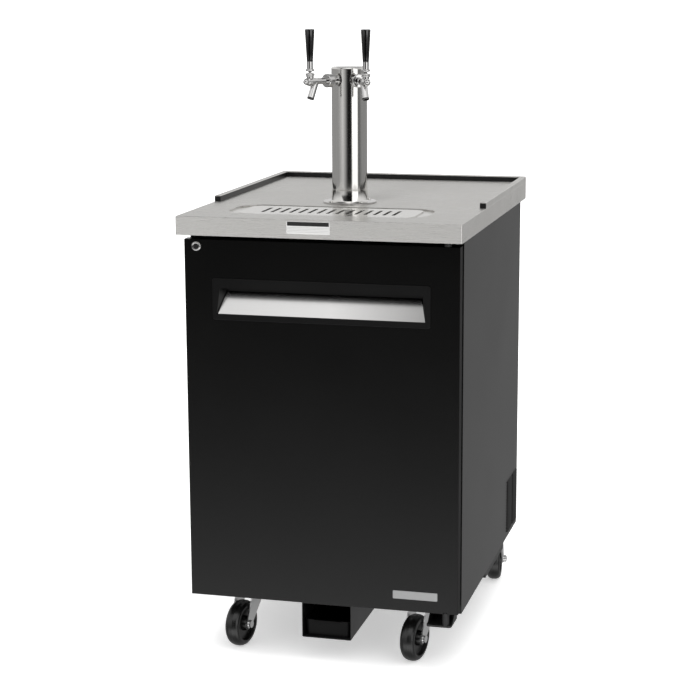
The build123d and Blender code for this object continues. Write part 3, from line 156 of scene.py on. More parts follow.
def brushed(name, base, roughness, along, anisotropy=0.6, depth=0.00001):
    """Metal with fine parallel scratches along one axis; the depth is in metres."""
    mat = new_material(name, base, roughness, 1.0, Anisotropic=anisotropy)
    surface = node(mat, "ShaderNodeNewGeometry")
    across = node(mat, "ShaderNodeVectorMath")
    across.operation = "CROSS_PRODUCT"
    across.inputs[1].default_value = [1.0 if axis == along else 0.04 for axis in range(3)]
    link(mat, surface.outputs["Normal"], across.inputs[0])
    link(mat, across.outputs["Vector"], shader_of(mat).inputs["Tangent"])
    stretch = [1.0 if axis == along else scratch_stretch for axis in range(3)]
    scratches = stretched_noise(mat, stretch, scratch_scale, 4.0, 0.65)
    clouds = stretched_noise(mat, (1, 1, 1), cloud_scale, 3.0)
    mixed = node(mat, "ShaderNodeMath")
    mixed.operation = "MULTIPLY_ADD"
    mixed.inputs[1].default_value = cloud_share
    link(mat, clouds.outputs["Fac"], mixed.inputs[0])
    link(mat, scratches.outputs["Fac"], mixed.inputs[2])
    rough_low, rough_high = roughness - smoother, roughness + rougher
    share = mixed.outputs["Value"]
    rough = remap(mat, share, rough_low, rough_high, least_mixed, most_mixed)
    link(mat, rough, shader_of(mat).inputs["Roughness"])
    light = [min(1.0, channel * scratch_light) for channel in base]
    dark = [channel * scratch_dark for channel in base]
    tint(mat, scratches.outputs["Fac"], dark, light)
    bump_from(mat, scratches.outputs["Fac"], depth)
    return mat


def grained(name, base, roughness, grain_scale, depth, lift, drift=0.04, **sockets):
    """Coated or moulded surface: fine grain in the bump, slow drift in colour and gloss."""
    mat = new_material(name, base, roughness, 0.0, **sockets)
    grain = stretched_noise(mat, (1, 1, 1), grain_scale, 2.0, 0.5)
    clouds = stretched_noise(mat, (1, 1, 1), 4.0, 3.0)
    dark = [channel / lift for channel in base]
    light = [channel * lift for channel in base]
    tint(mat, clouds.outputs["Fac"], dark, light)
    rough = remap(mat, clouds.outputs["Fac"], roughness - drift, roughness + drift)
    link(mat, rough, shader_of(mat).inputs["Roughness"])
    bump_from(mat, grain.outputs["Fac"], depth)
    return mat


# The finishes. A grained one is given its base colour, roughness, scale of grain, its depth in
# metres, the factor by which its colour drifts and, at need, the drift of its roughness.
along_x, along_z = 0, 2
steel = (0.66, 0.65, 0.63)
counter_metal = brushed("counter_metal", steel, 0.28, along_x, 1.0, 0.000003)
grate_metal = brushed("grate_metal", (0.70, 0.69, 0.67), 0.20, along_x, 0.9, 0.000003)
basin_metal = brushed("basin_metal", (0.60, 0.59, 0.57), 0.22, along_x, 0.6)
flange_metal = brushed("flange_metal", (0.40, 0.39, 0.38), 0.16, along_x, 0.3)
plate_metal = brushed("plate_metal", (0.60, 0.595, 0.59), 0.22, along_x, 0.4)
column_metal = brushed("column_metal", steel, 0.10, along_z, 0.0, 0.000001)
liner_metal = brushed("liner_metal", (0.70, 0.71, 0.72), 0.36, along_z, 0.4)
fin_metal = brushed("fin_metal", (0.66, 0.67, 0.68), 0.38, along_z, 0.2)
zinc_metal = grained("zinc_metal", (0.78, 0.78, 0.78), 0.30, 220.0, 0.00004, 1.08)
chrome = grained("chrome", (0.52, 0.515, 0.51), 0.05, 90.0, 0.0, 1.03)
copper = grained("copper", (0.72, 0.36, 0.22), 0.30, 120.0, 0.00003, 1.08)
for plated in (zinc_metal, chrome, copper):
    shader_of(plated).inputs["Metallic"].default_value = 1.0
badge_metal = grained("badge_metal", (0.30, 0.30, 0.30), 0.35, 400.0, 0.00003, 1.05)

powder_coat = ((0.0018, 0.0018, 0.0017), 0.26, 900.0, 0.00001, 1.15, 0.012)
black_coat = grained("black_coat", *powder_coat, Specular_IOR_Level=0.27)
# The side sheets and the back take a copy of the front's coat with less specular: a shaded copy,
# painted shade on them.
shaded_side_coat = grained("shaded_side_coat", *powder_coat, Specular_IOR_Level=0.19)
black_frame = grained("black_frame", (0.007, 0.007, 0.007), 0.42, 600.0, 0.00005, 1.2)
enamel = grained("enamel", (0.01, 0.01, 0.011), 0.2, 60.0, 0.00006, 1.2)

black_plastic = grained(
    "black_plastic", (0.004, 0.004, 0.004), 0.34, 700.0, 0.00004, 1.2, Specular_IOR_Level=0.35
)
handle_plastic = grained(
    "handle_plastic",
    (0.002, 0.002, 0.002),
    0.07,
    60.0,
    0.000005,
    1.2,
    0.02,
    Specular_IOR_Level=1.0,
)
bezel_plastic = grained(
    "bezel_plastic", (0.003, 0.003, 0.003), 0.32, 700.0, 0.00003, 1.2, Specular_IOR_Level=0.18
)
# A matte black: the waste tray's own finish, and painted shade where the louvre hoods and the
# door skin's sides take it.
matte_black_and_shade = grained(
    "matte_black_and_shade", (0.003, 0.003, 0.003), 0.5, 500.0, 0.00003, 1.2, Specular_IOR_Level=0.12
)
white_plastic = grained("white_plastic", (0.74, 0.75, 0.75), 0.33, 500.0, 0.00004, 1.03)
rubber = grained("rubber", (0.016, 0.016, 0.016), 0.55, 500.0, 0.00006, 1.25)
tyre = grained("tyre", (0.004, 0.004, 0.004), 0.30, 300.0, 0.00006, 1.25)
foam = grained("foam", (0.78, 0.66, 0.38), 0.85, 160.0, 0.0006, 1.1)
label_print = grained("label_print", (0.62, 0.62, 0.61), 0.42, 300.0, 0.00001, 1.01)

# The front's coat gets more specular near the floor than under the counter: a painted
# reflection, brighter towards the bottom.
foot_height, head_height = 0.12, 0.88
foot_shine, head_shine = 0.33, 0.10
door_place = place_along(black_coat, "Z")
painted_door_sheen = remap(black_coat, door_place, foot_shine, head_shine, foot_height, head_height)
link(black_coat, painted_door_sheen, shader_of(black_coat).inputs["Specular IOR Level"])

# The label is a blank generic one: a black band along its top and thin grey rules below.
label_low, label_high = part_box("counter_label")
label_margin = 0.0015
band_top, band_foot = 0.0006, 0.0090
rule_width = 0.0006
rule_rises = (0.004, 0.007, 0.010, 0.013)
band_shade, rule_shade = 0.008, 0.33


def label_strip(low, high):
    """A mask that is 1 between two heights of the label and inside its side margins."""
    limits = (
        ("Z", "GREATER_THAN", low),
        ("Z", "LESS_THAN", high),
        ("X", "GREATER_THAN", label_low[0] + label_margin),
        ("X", "LESS_THAN", label_high[0] - label_margin),
    )
    mask = None
    for axis, operation, limit in limits:
        test = node(label_print, "ShaderNodeMath")
        test.operation = operation
        link(label_print, place_along(label_print, axis), test.inputs[0])
        test.inputs[1].default_value = limit
        if mask is None:
            mask = test
            continue
        both = node(label_print, "ShaderNodeMath")
        both.operation = "MULTIPLY"
        link(label_print, mask.outputs["Value"], both.inputs[0])
        link(label_print, test.outputs["Value"], both.inputs[1])
        mask = both
    return mask.outputs["Value"]


strips = [(label_high[2] - band_foot, label_high[2] - band_top, band_shade)]
for rise in rule_rises:
    strips.append((label_low[2] + rise, label_low[2] + rise + rule_width, rule_shade))
for low, high, shade in strips:
    shade_by(label_print, label_strip(low, high), (shade, shade, shade))

# The pull's plate is painted darker towards its hinge end: a painted shade for the dark
# reflection of the pocket's end.
pull_shade_start, pull_shade_full = 0.02, 0.22
pull_reach = place_along(plate_metal, "X")
pull_painted_shade = remap(plate_metal, pull_reach, 0.0, 1.0, pull_shade_start, pull_shade_full)
shade_by(plate_metal, pull_painted_shade, (0.26, 0.258, 0.255))

# The bowl's colour is darkened with its depth: painted shade in the deep of the basin under the
# grate.
bowl_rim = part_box("drain_basin")[1][2]
bowl_light, bowl_dark = bowl_rim - 0.018, bowl_rim - 0.026
bowl_painted_shade = remap(basin_metal, place_along(basin_metal, "Z"), 1.0, 0.0, bowl_dark, bowl_light)
shade_by(basin_metal, bowl_painted_shade, (0.012, 0.012, 0.012))

# ------------------------------------------------------------------ finishes of the CAD nodes
finishes = {
    shaded_side_coat: ("side_panel_left", "side_panel_right", "rear_panel"),
    black_coat: ("front_frame", "door_skin"),
    black_frame: ("base_pan", "hinge_brackets", "tray_channel"),
    foam: ("cabinet_foam", "door_foam"),
    liner_metal: ("inner_liner", "evaporator_cover"),
    counter_metal: ("counter_top", "keg_floor"),
    basin_metal: ("drain_basin",),
    grate_metal: ("drain_grate",),
    flange_metal: ("tower_flange",),
    plate_metal: ("handle_plate",),
    column_metal: ("tower_column", "tower_cap", "tower_screws"),
    chrome: (
        "faucet_shanks",
        "faucet_collars",
        "faucet_body_left",
        "faucet_body_right",
        "faucet_bonnets",
        "faucet_lever_left",
        "faucet_lever_right",
        "valve_shaft_left",
        "valve_shaft_right",
        "lock_barrel",
        "lock_plug",
    ),
    handle_plastic: ("tap_handle_left", "tap_handle_right"),
    matte_black_and_shade: ("waste_tray",),
    bezel_plastic: ("handle_bezel",),
    black_plastic: ("counter_rail", "thermostat_knob", "evaporator_fan", "condenser_fan"),
    label_print: ("counter_label",),
    badge_metal: ("badge_plate",),
    white_plastic: ("door_liner",),
    rubber: ("door_gasket", "entry_bushings"),
    fin_metal: ("evaporator_coil", "condenser_coil"),
    copper: ("refrigerant_lines",),
    enamel: ("compressor", "fan_motors"),
    zinc_metal: (
        "caster_plates",
        "caster_bolts",
        "caster_fork_front_left",
        "caster_fork_front_right",
        "caster_fork_rear_left",
        "caster_fork_rear_right",
    ),
    tyre: (
        "caster_wheel_front_left",
        "caster_wheel_front_right",
        "caster_wheel_rear_left",
        "caster_wheel_rear_right",
    ),
}
for mat, names in finishes.items():
    for name in names:
        nodes[name].data.materials.clear()
        nodes[name].data.materials.append(mat)

# ------------------------------------------------------------------ pieces built in mesh code
mm = 0.001


def add_piece(name, verts, faces, body, slot, mat, smooth=40.0):
    """A new piece from plain geometry; it rides on a body and takes the finish it is given. The
    slot is not used.
    """
    mesh = bpy.data.meshes.new(name)
    mesh.from_pydata(verts, [], faces)
    work = bmesh.new()
    work.from_mesh(mesh)
    bmesh.ops.remove_doubles(work, verts=work.verts, dist=0.000001)
    bmesh.ops.recalc_face_normals(work, faces=work.faces)
    work.to_mesh(mesh)
    work.free()
    mesh.materials.append(mat)
    made = bpy.data.objects.new(name, mesh)
    bpy.context.scene.collection.objects.link(made)
    mesh.shade_smooth()
    mesh.set_sharp_from_angle(angle=math.radians(smooth))
    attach(made, body)
    return made


upright = (0, 0, 1)


def ring_faces(rings, count):
    """Quads between neighbouring rings of points, the last ring joined to the first."""
    faces = []
    for ring in range(rings):
        here, there = ring * count, (ring + 1) % rings * count
        for index in range(count):
            after = (index + 1) % count
            faces.append((here + index, here + after, there + after, there + index))
    return faces


def lathe(profile, centre, axis, steps):
    """Rings of a closed profile of (radius, height) turned about an axis."""
    up = Vector(axis).normalized()
    side = up.orthogonal().normalized()
    across = up.cross(side)
    verts = []
    for step in range(steps):
        angle = 2 * math.pi * step / steps
        out = side * math.cos(angle) + across * math.sin(angle)
        for radius, height in profile:
            verts.append(Vector(centre) + out * radius + up * height)
    return verts, ring_faces(steps, len(profile))


def turned(profile, centre, axis, steps):
    """A lathe shape from a profile in millimetres."""
    return lathe([(radius * mm, height * mm) for radius, height in profile], centre, axis, steps)


def several(shapes):
    """Joins lists of (verts, faces) into one."""
    verts, faces = [], []
    for shape_verts, shape_faces in shapes:
        faces += [tuple(index + len(verts) for index in face) for face in shape_faces]
        verts += shape_verts
    return verts, faces


def slab(low, high):
    """The eight corners and six faces of a box between two points."""
    (x0, y0, z0), (x1, y1, z1) = low, high
    verts = [Vector((x, y, z)) for z in (z0, z1) for y in (y0, y1) for x in (x0, x1)]
    faces = [(0, 1, 3, 2), (4, 6, 7, 5), (0, 4, 5, 1), (2, 3, 7, 6), (0, 2, 6, 4), (1, 5, 7, 3)]
    return verts, faces


# The faces of a bar whose corners go round its lower end and then round its upper end.
bar_faces = [(0, 1, 2, 3), (4, 7, 6, 5), (0, 4, 5, 1), (1, 5, 6, 2), (2, 6, 7, 3), (3, 7, 4, 0)]


def soften(obj, width):
    """Rounds the true edges of a piece or CAD node by a bevel modifier."""
    bevel = obj.modifiers.new("edge_round", "BEVEL")
    bevel.width = width
    bevel.segments = 2
    bevel.limit_method = "ANGLE"
    bevel.angle_limit = math.radians(35)
    bevel.harden_normals = True
    bevel.use_clamp_overlap = True


# The collar at the foot of the tower tube, with a rolled top edge.
column_low, column_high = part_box("tower_column")
flange_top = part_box("tower_flange")[1][2]
tower_x = (column_low[0] + column_high[0]) / 2
tower_y = (column_low[1] + column_high[1]) / 2
column_radius = (column_high[0] - column_low[0]) / 2
collar_height = 27 * mm
collar_gap = 0.05 * mm
collar = [
    (column_radius + collar_gap, 0),
    (column_radius + 2.6 * mm, 0),
    (column_radius + 1.2 * mm, 1.4 * mm),
    (column_radius + 0.7 * mm, 2.6 * mm),
    (column_radius + 0.7 * mm, collar_height - 1.2 * mm),
    (column_radius + 1.1 * mm, collar_height - 0.8 * mm),
    (column_radius + 1.1 * mm, collar_height - 0.2 * mm),
    (column_radius + 0.7 * mm, collar_height),
    (column_radius + collar_gap, collar_height),
]
collar_shape = lathe(collar, (tower_x, tower_y, flange_top), upright, 96)
add_piece("tower_collar", *collar_shape, "cabinet", "tower_steel", column_metal)

# Pressed louvre hoods over the cooling slots of both side sheets.
side_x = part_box("side_panel_right")[1][0]
louvre_pitch = 7 * mm
louvre_count = 18
louvre_first = 135 * mm
louvre_columns = (258.5 * mm, 329.5 * mm)
louvre_half = 31 * mm
hood_proud = 2.4 * mm
hood_lift = 0.05 * mm
hood_sheet = 0.5 * mm
hood_end_height = 0.35
# Up the hood: the height in millimetres and the share of the full swell.
hood_across = [
    (-2.6, 0.10),
    (-2.3, 0.72),
    (-1.6, 1.0),
    (0.0, 0.86),
    (1.8, 0.45),
    (3.0, 0.12),
    (3.4, 0.0),
]
# Along the hood: the share of its half length, and how far it has risen from its low ends.
hood_along = [
    (-1.0, 0.0),
    (-0.955, 0.45),
    (-0.90, 0.8),
    (-0.83, 1.0),
    (0.83, 1.0),
    (0.90, 0.8),
    (0.955, 0.45),
    (1.0, 0.0),
]


def hoods(sign):
    """All the hoods of one side sheet, open along their lower edge."""
    shapes = []
    for column in louvre_columns:
        for row in range(louvre_count):
            middle = louvre_first + row * louvre_pitch
            verts = []
            for share, fall in hood_along:
                for height, swell in hood_across:
                    out = side_x + hood_proud * swell * fall + hood_lift
                    tall = hood_end_height + (1 - hood_end_height) * fall
                    level = middle + height * mm * tall
                    verts.append(Vector((sign * out, column + share * louvre_half, level)))
            width = len(hood_across)
            faces = []
            for along in range(len(hood_along) - 1):
                for across in range(width - 1):
                    first = along * width + across
                    faces.append((first, first + 1, first + width + 1, first + width))
            shapes.append((verts, faces))
    return several(shapes)


# The hoods take the matte black, darker than the side sheet they are pressed from: painted shade
# of the slots under them.
for side, sign in (("left", -1), ("right", 1)):
    louvres = add_piece(
        f"louvre_hoods_{side}", *hoods(sign), "cabinet", "black_coated_steel", matte_black_and_shade, 60.0
    )
    thick = louvres.modifiers.new("sheet", "SOLIDIFY")
    thick.thickness = hood_sheet
    thick.offset = 0.0

# The door seal: a soft bellows with a magnet tube, mitred at the corners.
seal_low, seal_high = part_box("door_gasket")
seal_section = [
    (5.0, 0.1),
    (5.6, 1.6),
    (2.2, 3.0),
    (1.0, 4.4),
    (2.4, 5.6),
    (4.2, 6.2),
    (2.6, 7.2),
    (1.4, 8.6),
    (1.0, 10.6),
    (1.4, 13.2),
    (3.0, 14.3),
    (12.6, 14.3),
    (14.4, 13.4),
    (15.0, 11.0),
    (14.6, 8.8),
    (13.2, 7.4),
    (11.4, 6.4),
    (13.8, 5.4),
    (15.0, 4.2),
    (13.6, 3.0),
    (10.4, 1.6),
    (11.0, 0.1),
]
seal_corner = 2.0 * mm
seal_steps = 4


def seal_ring(section, low, high):
    """Sweeps a section of (inset, height) in millimetres round a tight upright rectangle."""
    rings = []
    for corner_x, corner_z, start in ((1, 1, 0), (-1, 1, 90), (-1, -1, 180), (1, -1, 270)):
        for step in range(seal_steps + 1):
            angle = math.radians(start + step * 90 / seal_steps)
            rings.append((corner_x, corner_z, math.cos(angle), math.sin(angle)))
    verts = []
    middle_x = (low[0] + high[0]) / 2
    middle_z = (low[2] + high[2]) / 2
    half_x = (high[0] - low[0]) / 2
    half_z = (high[2] - low[2]) / 2
    for corner_x, corner_z, cos_turn, sin_turn in rings:
        for inset, height in section:
            reach_x = half_x - inset * mm - seal_corner
            reach_z = half_z - inset * mm - seal_corner
            verts.append(
                Vector(
                    (
                        middle_x + corner_x * reach_x + cos_turn * seal_corner,
                        low[1] + height * mm,
                        middle_z + corner_z * reach_z + sin_turn * seal_corner,
                    )
                )
            )
    return verts, ring_faces(len(rings), len(section))


seal_shape = seal_ring(seal_section, seal_low, seal_high)
seal = add_piece("door_seal", *seal_shape, "door", "seal", rubber, 50.0)
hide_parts("door_gasket")


# Pan-head screws: each a domed head with a cross in its recess, turned to its own angle.
def pan_head(centre, axis, radius, turn):
    """A domed head standing on a point, with a raised rim round a recess and its cross."""
    profile = [
        (0.0, 0.45 * radius),
        (0.30 * radius, 0.45 * radius),
        (0.36 * radius, 0.62 * radius),
        (0.62 * radius, 0.56 * radius),
        (0.88 * radius, 0.36 * radius),
        (radius, 0.12 * radius),
        (radius, 0.0),
        (0.0, 0.0),
    ]
    head = lathe(profile, centre, axis, 20)
    up = Vector(axis).normalized()
    side = up.orthogonal().normalized()
    side.rotate(Matrix.Rotation(turn, 3, up))
    across = up.cross(side)
    half_long, half_wide = 0.27 * radius, 0.07 * radius
    bars = []
    for first, second in ((side, across), (across, side)):
        corners = []
        for lift in (0.40 * radius, 0.50 * radius):
            for end, edge in ((-1, -1), (1, -1), (1, 1), (-1, 1)):
                flat = first * end * half_long + second * edge * half_wide
                corners.append(Vector(centre) + flat + up * lift)
        bars.append((corners, bar_faces))
    return several([head] + bars)


def screw_heads(points, axis, radius, turn):
    """Pan heads on several points, each turned a step further than the one before."""
    return several(
        [pan_head(point, axis, radius, turn * index) for index, point in enumerate(points)]
    )


rear_low, rear_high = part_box("rear_panel")
rear_columns = (-276 * mm, -92 * mm, 92 * mm, 276 * mm)
rear_edges = (rear_low[2] + 14 * mm, rear_high[2] - 16 * mm)
rear_side_rows = (330 * mm, 520 * mm, 710 * mm)
rear_points = [(x, rear_high[1], z) for x in rear_columns for z in rear_edges]
for x in (rear_columns[0], rear_columns[-1]):
    rear_points += [(x, rear_high[1], z) for z in rear_side_rows]
rear_heads = screw_heads(rear_points, (0, 1, 0), 4.2 * mm, 0.7)
add_piece("rear_screws", *rear_heads, "cabinet", "zinc", zinc_metal, 30.0)

cover_low, cover_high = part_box("evaporator_cover")
cover_points = [
    (x, cover_low[1], z)
    for x in (cover_low[0] + 12 * mm, cover_high[0] - 12 * mm)
    for z in (cover_low[2] + 14 * mm, cover_high[2] - 14 * mm)
]
cover_heads = screw_heads(cover_points, (0, -1, 0), 3.6 * mm, 0.9)
add_piece("cover_screws", *cover_heads, "cabinet", "zinc", zinc_metal, 30.0)

# Tick marks of the thermostat, on the cover round its knob: the first and last are longer.
knob_low, knob_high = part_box("thermostat_knob")
knob_x = (knob_low[0] + knob_high[0]) / 2
knob_z = (knob_low[2] + knob_high[2]) / 2
knob_radius = (knob_high[0] - knob_low[0]) / 2
tick_count = 10
tick_sweep = (-45, 225)
tick_gap = 2.5
tick_half = 0.5
tick_end, tick_between = 5.5, 3.5
tick_out, tick_in = 0.25 * mm, 0.05 * mm
ticks = []
for index in range(tick_count):
    share = index / (tick_count - 1)
    angle = math.radians(tick_sweep[0] + (tick_sweep[1] - tick_sweep[0]) * share)
    out = Vector((math.cos(angle), 0, math.sin(angle)))
    side = Vector((-math.sin(angle), 0, math.cos(angle)))
    far = tick_gap + (tick_end if index in (0, tick_count - 1) else tick_between)
    corners = []
    for y in (cover_low[1] - tick_out, cover_low[1] + tick_in):
        for reach, half in (
            (tick_gap, -tick_half),
            (far, -tick_half),
            (far, tick_half),
            (tick_gap, tick_half),
        ):
            point = out * (knob_radius + reach * mm) + side * half * mm
            corners.append(Vector((knob_x + point.x, y, knob_z + point.z)))
    ticks.append((corners, bar_faces))
add_piece("thermostat_ticks", *several(ticks), "cabinet", "handle_black", black_plastic)

# Galvanised sheets line the front and top of the machine bay, over its foam.
bay_front = 186.2 * mm
bay_back = 365.5 * mm
bay_floor = 132.2 * mm
bay_top = 553.8 * mm
bay_half = rear_high[0] - 0.2 * mm
foam_gap = 0.05 * mm
bay_sheet = 0.5 * mm
bay_sheets = several(
    [
        slab(
            (-bay_half, bay_front + foam_gap, bay_floor),
            (bay_half, bay_front + bay_sheet, bay_top - bay_sheet),
        ),
        slab(
            (-bay_half, bay_front + foam_gap, bay_top - bay_sheet),
            (bay_half, bay_back, bay_top - foam_gap),
        ),
    ]
)
add_piece("bay_lining", *bay_sheets, "cabinet", "liner_aluminium", liner_metal)

# Tap handles: smooth turned grips with a flat top, on a slim foot over each ferrule. This
# and the three profiles after it are in millimetres.
handle_profile = [
    (0.0, 0.0),
    (5.9, 0.0),
    (6.5, 0.5),
    (6.7, 1.6),
    (6.75, 4.0),
    (7.6, 18.0),
    (8.5, 34.0),
    (9.4, 50.0),
    (10.1, 63.5),
    (10.15, 65.6),
    (9.8, 66.6),
    (9.1, 66.95),
    (0.0, 66.95),
]
for side in ("left", "right"):
    grip_low, grip_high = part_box(f"tap_handle_{side}")
    foot = ((grip_low[0] + grip_high[0]) / 2, (grip_low[1] + grip_high[1]) / 2, grip_low[2])
    grip_shape = turned(handle_profile, foot, upright, 72)
    grip = add_piece(
        f"tap_grip_{side}", *grip_shape, f"lever_{side}", "handle_black", handle_plastic, 50.0
    )
    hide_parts(f"tap_handle_{side}")

# A ring under each ferrule, above the ball; a dark lip round each spout's mouth; and the
# rings of each bonnet. Heights are above the faucet's axis, and the lip's run down its spout
# to the mouth.
lever_ring = [
    (3.05, 19.9),
    (6.2, 21.7),
    (8.6, 21.9),
    (9.3, 22.4),
    (9.6, 23.3),
    (9.6, 25.0),
    (9.3, 25.9),
    (8.6, 26.5),
    (6.7, 26.9),
    (3.05, 27.0),
]
spout_lip = [
    (5.5, -3.0),
    (7.5, -3.0),
    (7.55, -0.4),
    (7.3, 0.0),
    (5.5, 0.0),
]
bonnet_rings = [
    (6.4, 10.4),
    (8.6, 10.4),
    (9.5, 11.0),
    (9.8, 12.0),
    (9.5, 13.0),
    (8.8, 13.6),
    (8.8, 13.9),
    (9.6, 14.4),
    (10.0, 15.4),
    (9.8, 16.6),
    (9.0, 17.4),
    (6.4, 17.5),
]
lever_rise = 60.0 * mm
spout_run, spout_fall = 13.5, 32.5
mouth_drop = 36.5 * mm
mouth_inset = 0.5 * mm
bonnets = []
for side in ("left", "right"):
    lever_low, lever_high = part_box(f"faucet_lever_{side}")
    lever_x = (lever_low[0] + lever_high[0]) / 2
    lever_y = (lever_low[1] + lever_high[1]) / 2
    faucet = Vector((lever_x, lever_y, lever_high[2] - lever_rise))
    ring_shape = turned(lever_ring, faucet, upright, 48)
    add_piece(f"lever_ring_{side}", *ring_shape, f"lever_{side}", "faucet_chrome", chrome, 35.0)
    bonnets.append(turned(bonnet_rings, faucet, upright, 48))
    outward = Vector((lever_x - tower_x, lever_y - tower_y, 0)).normalized()
    mouth = faucet - outward * mouth_inset - Vector((0, 0, mouth_drop))
    spout_line = outward * spout_run - Vector((0, 0, spout_fall))
    lip_shape = turned(spout_lip, mouth, spout_line, 48)
    add_piece(f"spout_lip_{side}", *lip_shape, "cabinet", "handle_black", black_plastic, 35.0)

bonnet_piece = add_piece(
    "faucet_bonnet_rings", *several(bonnets), "cabinet", "faucet_chrome", chrome, 40.0
)
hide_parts("faucet_bonnets")

# The lock: a raised ring round the plug, and black slabs that turn with it, a painted shade
# standing in for the keyway's slot.
barrel_low, barrel_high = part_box("lock_barrel")
plug_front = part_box("lock_plug")[0][1]
lock_x = (barrel_low[0] + barrel_high[0]) / 2
lock_z = (barrel_low[2] + barrel_high[2]) / 2
lock_front = min(barrel_low[1], plug_front)
lock_radius = (barrel_high[0] - barrel_low[0]) / 2
lock_profile = [
    (0.62 * lock_radius, 0.0),
    (0.64 * lock_radius, 0.7 * mm),
    (0.72 * lock_radius, 1.0 * mm),
    (0.84 * lock_radius, 0.9 * mm),
    (0.93 * lock_radius, 0.4 * mm),
    (0.95 * lock_radius, 0.0),
]
lock_ring = lathe(lock_profile, (lock_x, lock_front, lock_z), (0, -1, 0), 48)
add_piece("lock_ring", *lock_ring, "door", "faucet_chrome", chrome, 40.0)


def key_slab(proud, low, high):
    """A thin slab on the lock's face between two (x, z) points, in millimetres from its axis."""
    return slab(
        (lock_x + low[0] * mm, lock_front - proud * mm, lock_z + low[1] * mm),
        (lock_x + high[0] * mm, lock_front, lock_z + high[1] * mm),
    )


keyway_shade = several(
    [key_slab(0.25, (-0.9, -3.6), (0.9, 3.6)), key_slab(0.22, (-1.7, -0.8), (0.2, 1.4))]
)
add_piece("lock_keyway", *keyway_shade, "lock", "handle_black", black_plastic)

# The rail is steel outside and on top, with a black strip inside and at its two ends. A face
# is on a side or on top when that part of its normal is over the part named here.
side_part, top_part = 0.5, 0.35
rail_back = cad_high[1] - 10 * mm
rail = nodes["counter_rail"]
rail.data.materials.append(counter_metal)
for face in rail.data.polygons:
    middle, normal = face.center, face.normal
    outer_side = normal.x * (1 if middle.x > 0 else -1) > side_part
    outer_back = normal.y > side_part and middle.y > rail_back
    if outer_side or outer_back or normal.z > top_part:
        face.material_index = 1

# The side faces of the door skin take the matte black: painted shade on the door's sides.
skin = nodes["door_skin"]
skin.data.materials.append(matte_black_and_shade)
for face in skin.data.polygons:
    if abs(face.normal.x) > side_part:
        face.material_index = 1

# Edges of sheet metal and mouldings catch the light along a small round.
for name, width in (
    ("counter_top", 0.8),
    ("counter_rail", 0.5),
    ("door_skin", 0.8),
    ("handle_bezel", 0.5),
    ("badge_plate", 0.4),
    ("tower_flange", 0.5),
    ("tower_cap", 0.4),
    ("waste_tray", 0.4),
    ("tray_channel", 0.3),
    ("lock_barrel", 0.3),
):
    soften(nodes[name], width * mm)

# ------------------------------------------------------------------ floor, light and camera
floor_reach = 400
floor_paint = new_material(
    "floor_paint",
    (0.93, 0.93, 0.93),
    0.95,
    Specular_IOR_Level=0.0,
    Emission_Color=(1.0, 1.0, 1.0, 1.0),
    Emission_Strength=0.45,
)
floor_mesh = bpy.data.meshes.new("stage_floor")
floor_corners = [
    (-floor_reach, -floor_reach, 0.0),
    (floor_reach, -floor_reach, 0.0),
    (floor_reach, floor_reach, 0.0),
    (-floor_reach, floor_reach, 0.0),
]
floor_mesh.from_pydata(floor_corners, [], [(0, 1, 2, 3)])
floor_mesh.materials.append(floor_paint)
floor = bpy.data.objects.new("stage_floor", floor_mesh)
bpy.context.scene.collection.objects.link(floor)

floor.visible_glossy = False

# The room as reflections see it: a belt of softboxes and dark walls at eye height, the pale
# floor below it and a bright ceiling above it. The floor plane itself is kept out of them.
# Each point of the belt is an azimuth in degrees, which is 0 in front and grows to the right,
# and the brightness there.
room_belt = (
    (-180, 0.35),
    (-64, 0.39),
    (-52, 0.50),
    (-30, 0.86),
    (-14, 0.46),
    (-2, 0.10),
    (5, 0.012),
    (24, 0.012),
    (28, 0.30),
    (32, 1.90),
    (66, 1.90),
    (71, 0.14),
    (82, 0.18),
    (100, 0.32),
    (180, 0.35),
)
belt_scale = 2.0  # a colour ramp holds no more than 1, so the belt is divided by this there
camera_azimuth = 14.57

world = bpy.data.worlds.new("studio")
bpy.context.scene.world = world
world.use_nodes = True
sky = world.node_tree
backdrop = sky.nodes["Background"]
backdrop.inputs["Strength"].default_value = 1.0


def sky_math(operation, first, second=0.0):
    """A maths node in the world; its inputs are numbers or other nodes' outputs."""
    made = sky.nodes.new("ShaderNodeMath")
    made.operation = operation
    for socket, value in zip(made.inputs, (first, second)):
        if isinstance(value, float):
            socket.default_value = value
        else:
            sky.links.new(value, socket)
    return made.outputs["Value"]


def sky_range(source, from_low, from_high, to_low, to_high):
    """A smooth ramp between two values."""
    made = sky.nodes.new("ShaderNodeMapRange")
    made.interpolation_type = "SMOOTHSTEP"
    made.inputs["From Min"].default_value = from_low
    made.inputs["From Max"].default_value = from_high
    made.inputs["To Min"].default_value = to_low
    made.inputs["To Max"].default_value = to_high
    sky.links.new(source, made.inputs["Value"])
    return made.outputs["Result"]


def sky_turn(source, from_degrees, to_degrees, to_low, to_high):
    """A smooth ramp between two values of an angle given in degrees."""
    return sky_range(
        source, math.radians(from_degrees), math.radians(to_degrees), to_low, to_high
    )


def sky_mix(factor, first, second):
    """Blends two brightnesses."""
    made = sky.nodes.new("ShaderNodeMix")
    made.data_type = "FLOAT"
    for socket, value in (("Factor", factor), ("A", first), ("B", second)):
        if isinstance(value, float):
            made.inputs[socket].default_value = value
        else:
            sky.links.new(value, made.inputs[socket])
    return made.outputs["Result"]


